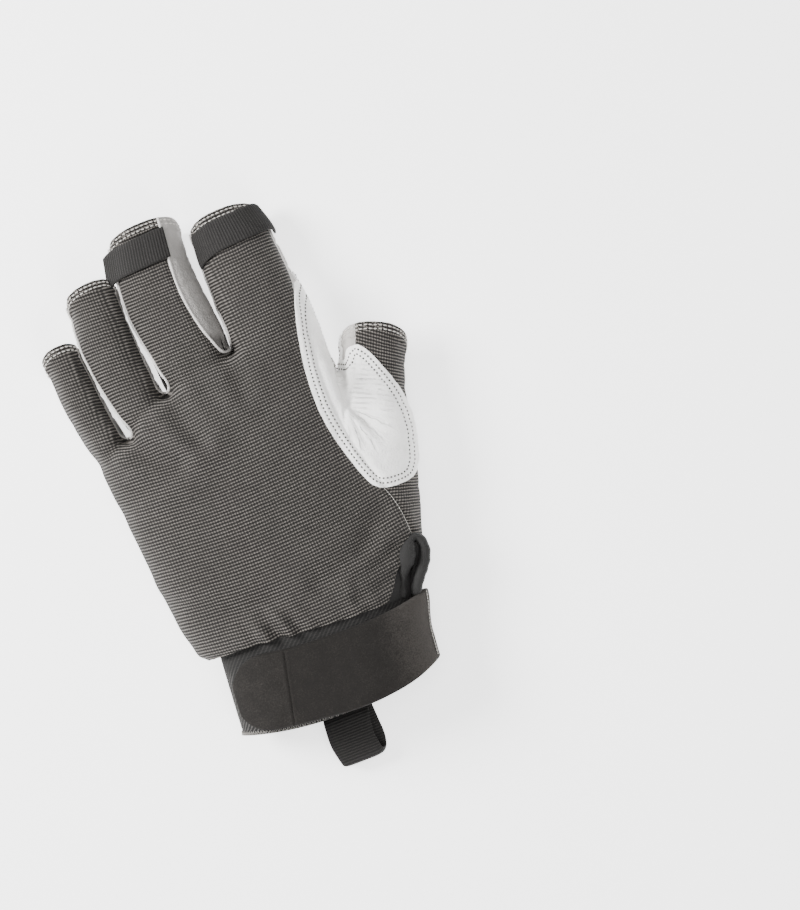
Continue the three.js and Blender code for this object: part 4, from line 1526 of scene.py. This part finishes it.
def elastic(name, tone, pitch):
    made = Finish(name, Roughness=0.85, Specular_IOR_Level=0.3)
    place = made.place()
    across, along = made.knit()
    fine = made.noise(place, 0.5, 2.0)
    # The light yarn fades out above y 20 to 27: painted shade on the cuff's upper part, where it lies
    # between the strap and the hand's hem
    light = (across.wave(pitch) * 0.5 + fine).smooth(0.3, 1.2) * (1 - along.smooth(20.0, 27.0) * 0.8)
    made.colour(made.mix(light, tone, tuple(c * 8.0 for c in tone)))
    made.bump(fine * 0.6 + along.wave(0.9) * 0.2, 0.12)
    return made.material


def brushed_felt():
    made = Finish("brushed_strap", Roughness=0.95, Specular_IOR_Level=0.2)
    place = made.place()
    across, _ = made.knit()
    fuzz = made.noise(place, 0.55, 4.0, 0.75)
    patchy = made.noise(place, 7.0, 4.0, 0.6)
    side = across.smooth(-18.0, -14.0)
    # Lighter towards the thumb end: partly painted sheen, partly the nap's wear and coarser loops there
    thumb_sheen_and_wear = across.smooth(18.0, 46.0)
    uneven = (fuzz - 0.5) * 1.8 + (patchy - 0.5) * 0.5
    light = (uneven + 0.12 - side * 0.1 + thumb_sheen_and_wear * 0.95).smooth(-0.1, 1.1)
    made.colour(made.mix(light, FELT, tuple(c * 4.2 for c in FELT)))
    made.bump(fuzz + patchy * 0.4, 0.25)
    return made.material


def plain(name, tone, rough=0.8):
    made = Finish(name, Roughness=rough)
    fine = made.noise(made.place(), 0.4, 2.0)
    made.colour(made.mix(fine, tuple(c * 0.7 for c in tone), tuple(min(1, c * 1.3) for c in tone)))
    made.bump(fine, 0.1)
    return made.material


def grosgrain():
    made = Finish("webbing", Roughness=0.8, Specular_IOR_Level=0.3)
    place = made.place()
    across, along = made.knit()
    fine = made.noise(place, 0.4, 2.0)
    yarn = across.wave(0.7)
    light = (along.wave(WEBBING_RIB) * 0.4 + yarn * 0.1 + fine * 0.8).smooth(0.2, 1.1)
    made.colour(made.mix(light, TAPE, tuple(c * 4.0 for c in TAPE)))
    made.bump(yarn * 0.3 + fine * 0.6, 0.1)
    return made.material


# Building the glove

# Panels: slot, finish and wall
LEATHER_PANEL = ("soft_leather", "soft_leather", WALL)
PANELS = {
    "back_panel": ("ribbed_fabric", "ribbed_fabric", WALL),
    "thumb_panel": ("ribbed_fabric", "thumb_fabric", WALL),
    "crotch_patch": ("patch_leather", "patch_leather", PATCH_WALL),
}


def finished(piece, slot, *materials, replaces=()):
    for material in materials:
        piece.data.materials.append(material)
    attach(piece, "root")
    if replaces:
        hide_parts(*replaces)
    return piece


def cut_panels(sheet):
    """The hand's surface cut along its seams, by name. The patch lies over the other panels."""
    panels = {"back_panel": sheet.cut("back")}
    rest = sheet.cut("back", False)
    panels["thumb_panel"] = rest.cut("thumb")
    rest = rest.cut("thumb", False)
    for name in FOURCHETTES:
        panels[name] = rest.cut(name)
        rest = rest.cut(name, False)
    panels["palm_panel"] = rest
    panels["crotch_patch"] = sheet.cut("patch")
    return panels


def patch_rise(patch):
    """How far the patch stands out: less at its edge, and drawn in along its stitches."""
    rise = PATCH_LIFT - 0.35 * (1 - np.clip(patch, 0, 2) / 2) ** 2
    for row in PATCH_STITCHES:
        rise = rise - 0.22 * bell(patch - row, 0.45)
    return rise


def shape_panel(name, part):
    """Works folds and seams into a panel, and gives it what its finish reads."""
    values = part.values
    values["normal"] = unit(values["normal"])
    values["knit"] = rib_coordinates(part.points, values["normal"], name == "thumb_panel")
    part.points = part.points + values["normal"] * hand_relief(part.points, values)[:, None]
    # Where shade is painted into the leather's colour, from 0 to 1
    values["shade"] = painted_leather_shade(part.points, values["back"], values["patch"])
    sink = narrow_gap(*part.points.T, values["back"]) * ramp(values["normal"][:, 2], 0.1, 0.5)
    part.points[:, 2] -= GAP_DEPTH * (sink * ramp(values["mouth"], 4, 9))
    part.points[:, 2] = np.maximum(part.points[:, 2], FLOOR_CLEAR)
    if name == "crotch_patch":
        part.points += values["normal"] * patch_rise(values["patch"])[:, None]


def build_hand(finishes):
    """The hand's panels, cut from one surface, each with a dark inner side."""
    points, triangles = hand_surface()
    sheet = Sheet(points, triangles, hand_values(points, unit(hand_gradient(points))))
    for name in ("mouth", "hem"):
        sheet = sheet.cut(name)
    backing = sheet.cut("backing")
    backing.points = backing.points - backing.values["normal"] * BACKING_DEPTH
    backing.values["knit"] = backing.points[:, :2]
    piece = panel("gusset_backing", backing, BACKING_WALL)
    finished(piece, "gusset_elastic", finishes["gusset_elastic"])
    sheet = sheet.cut("notch", False)
    sheet.values["normal"] = unit(sheet.values["normal"])
    panels = cut_panels(sheet)
    for name, part in panels.items():
        shape_panel(name, part)
        slot, finish, wall = PANELS.get(name, LEATHER_PANEL)
        piece = panel(name, part, wall)
        finished(piece, slot, finishes[finish], finishes["lining"], replaces=[name])
        count = len(part.triangles)
        inner = np.zeros(len(piece.data.polygons), int)
        inner[count:2 * count] = 1
        piece.data.polygons.foreach_set("material_index", inner)
        piece.data.update()
    return panels


def sew_hand(panels, finishes):
    """Stitches along the mouths, the patch and the wrist, and the rolled edges between the fingers."""
    hemmed = [part for name, part in panels.items() if name != "crotch_patch"]
    hems = [stitch_row(part, "mouth", level, HEM_PITCH) for part in hemmed for level in HEM_ROWS]
    patch = [stitch_row(panels["crotch_patch"], "patch", level, PATCH_PITCH) for level in PATCH_STITCHES]
    patch = np.concatenate(patch)
    vent = stitch_row(panels["back_panel"], "back", 0.45, VENT_PITCH)
    rows = {
        "hem_stitches": np.concatenate(hems),
        "patch_stitches": patch[patch[:, 2] > 0.8],
        "vent_stitches": vent[(vent[:, 0] > 46) & (vent[:, 1] < 72)],
        "cuff_overlock": cuff_overlock(),
        "strap_whipping": strap_whipping(),
    }
    for name, (finish, length, radius, rise) in STITCHES.items():
        finished(make_stitches(name, rows[name], finishes[finish], length, radius, rise), "webbing")
    for piece in make_seam_rolls(panels["back_panel"]):
        finished(piece, "soft_leather", finishes["rolled_leather"])


def main():
    finishes = {
        "ribbed_fabric": ribbed_fabric("ribbed_fabric", 1.0),
        # The thumb's knit is the same fabric painted 1.3 times lighter, as painted light on the thumb
        "thumb_fabric": ribbed_fabric("thumb_fabric", 1.3),
        "soft_leather": soft_leather("soft_leather", LEATHER, 1.0),
        "rolled_leather": soft_leather("rolled_leather", ROLLED, 0.6),
        "patch_leather": soft_leather("patch_leather", PATCH, 0.8, creased=True),
        "lining": plain("lining", LINING, 0.9),
        "cuff_elastic": elastic("cuff_elastic", ELASTIC, 1.0),
        "gusset_elastic": plain("gusset_elastic", ELASTIC, 0.9),
        "brushed_strap": brushed_felt(),
        "webbing": grosgrain(),
        "thread": plain("thread", THREAD, 0.7),
        "hole_thread": plain("hole_thread", HOLE_SHADE_THREAD, 0.8),
        "binding_thread": plain("binding_thread", BINDING_THREAD, 0.8),
    }
    sew_hand(build_hand(finishes), finishes)
    finished(make_cuff(), "cuff_elastic", finishes["cuff_elastic"], replaces=["cuff_band"])
    finished(make_strap(), "brushed_strap", finishes["brushed_strap"], replaces=["closure_strap"])
    elastic_finish = finishes["gusset_elastic"]
    gusset = make_gusset("wrist_gusset", GUSSET_ROWS)
    finished(gusset, "gusset_elastic", elastic_finish, replaces=["wrist_gusset"])
    finished(make_gusset("gusset_fold", GUSSET_FOLD), "gusset_elastic", elastic_finish)
    finished(make_loop(), "webbing", finishes["webbing"], replaces=["wrist_pull_loop"])
    for name, row in TABS.items():
        finished(make_tab(name, row), "webbing", finishes["webbing"], replaces=[name])


# Floor, lights and camera

VIEW_CENTRE = (58.4, 78.9)
VIEW_RIGHT = (0.92186, -0.38752)
VIEW_HEIGHT = 1.4
LENS = 140.9
WORLD_STRENGTH = 0.58
FLOOR_HALF = 4.0
FLOOR_GLOW = 1.6
WHITE = (1, 1, 1, 1)
# Lights, in metres from the view's centre: rightwards, upwards in the picture, above, size, and power
LIGHTS = {
    "key": (-0.85, 0.2, 0.62, 0.5, 27),
    "fill": (0.6, -1.2, 1.2, 1.2, 24),
    "over": (0.0, 0.2, 1.9, 1.0, 20),
}


def set_stage():
    """A white floor that also glows."""
    mesh = bpy.data.meshes.new("floor")
    corners = [(x * FLOOR_HALF, y * FLOOR_HALF, 0) for x, y in ((-1, -1), (1, -1), (1, 1), (-1, 1))]
    mesh.from_pydata(corners, [], [(0, 1, 2, 3)])
    floor = add_object("floor", mesh)
    made = Finish("floor", Roughness=0.9, Base_Color=(0.95, 0.95, 0.95, 1))
    made.shader.inputs["Emission Color"].default_value = WHITE
    made.shader.inputs["Emission Strength"].default_value = FLOOR_GLOW
    floor.data.materials.append(made.material)


def set_light(name, place, aim, size, power):
    data = bpy.data.lights.new(name, "AREA")
    data.shape = "DISK"
    data.size = size
    data.energy = power
    light = add_object(name, data)
    light.location = place
    light.rotation_euler = (aim - place).to_track_quat("-Z", "Y").to_euler()


def set_view():
    """A camera that looks straight down, the lights, and an even white world."""
    right = Vector((*VIEW_RIGHT, 0)).normalized()
    up = Vector((-VIEW_RIGHT[1], VIEW_RIGHT[0], 0)).normalized()
    above = Vector((0, 0, 1))
    centre = Vector(placed((*VIEW_CENTRE, 0.0)).tolist())
    data = bpy.data.cameras.new("camera")
    data.sensor_width = 36.0
    data.lens = LENS
    data.clip_start = 0.01
    camera = add_object("camera", data)
    turn = np.eye(4)
    for column, way in enumerate((right, up, above)):
        turn[:3, column] = way
    turn[:3, 3] = centre + above * VIEW_HEIGHT
    camera.matrix_world = Matrix(turn.tolist())
    bpy.context.scene.camera = camera
    for name, (rightwards, upwards, high, size, power) in LIGHTS.items():
        place = centre + right * rightwards + up * upwards + above * high
        set_light(name, place, centre, size, power)
    world = bpy.data.worlds.new("world")
    bpy.context.scene.world = world
    world.use_nodes = True
    background = world.node_tree.nodes["Background"]
    background.inputs["Color"].default_value = WHITE
    background.inputs["Strength"].default_value = WORLD_STRENGTH


set_view()
set_stage()
main()
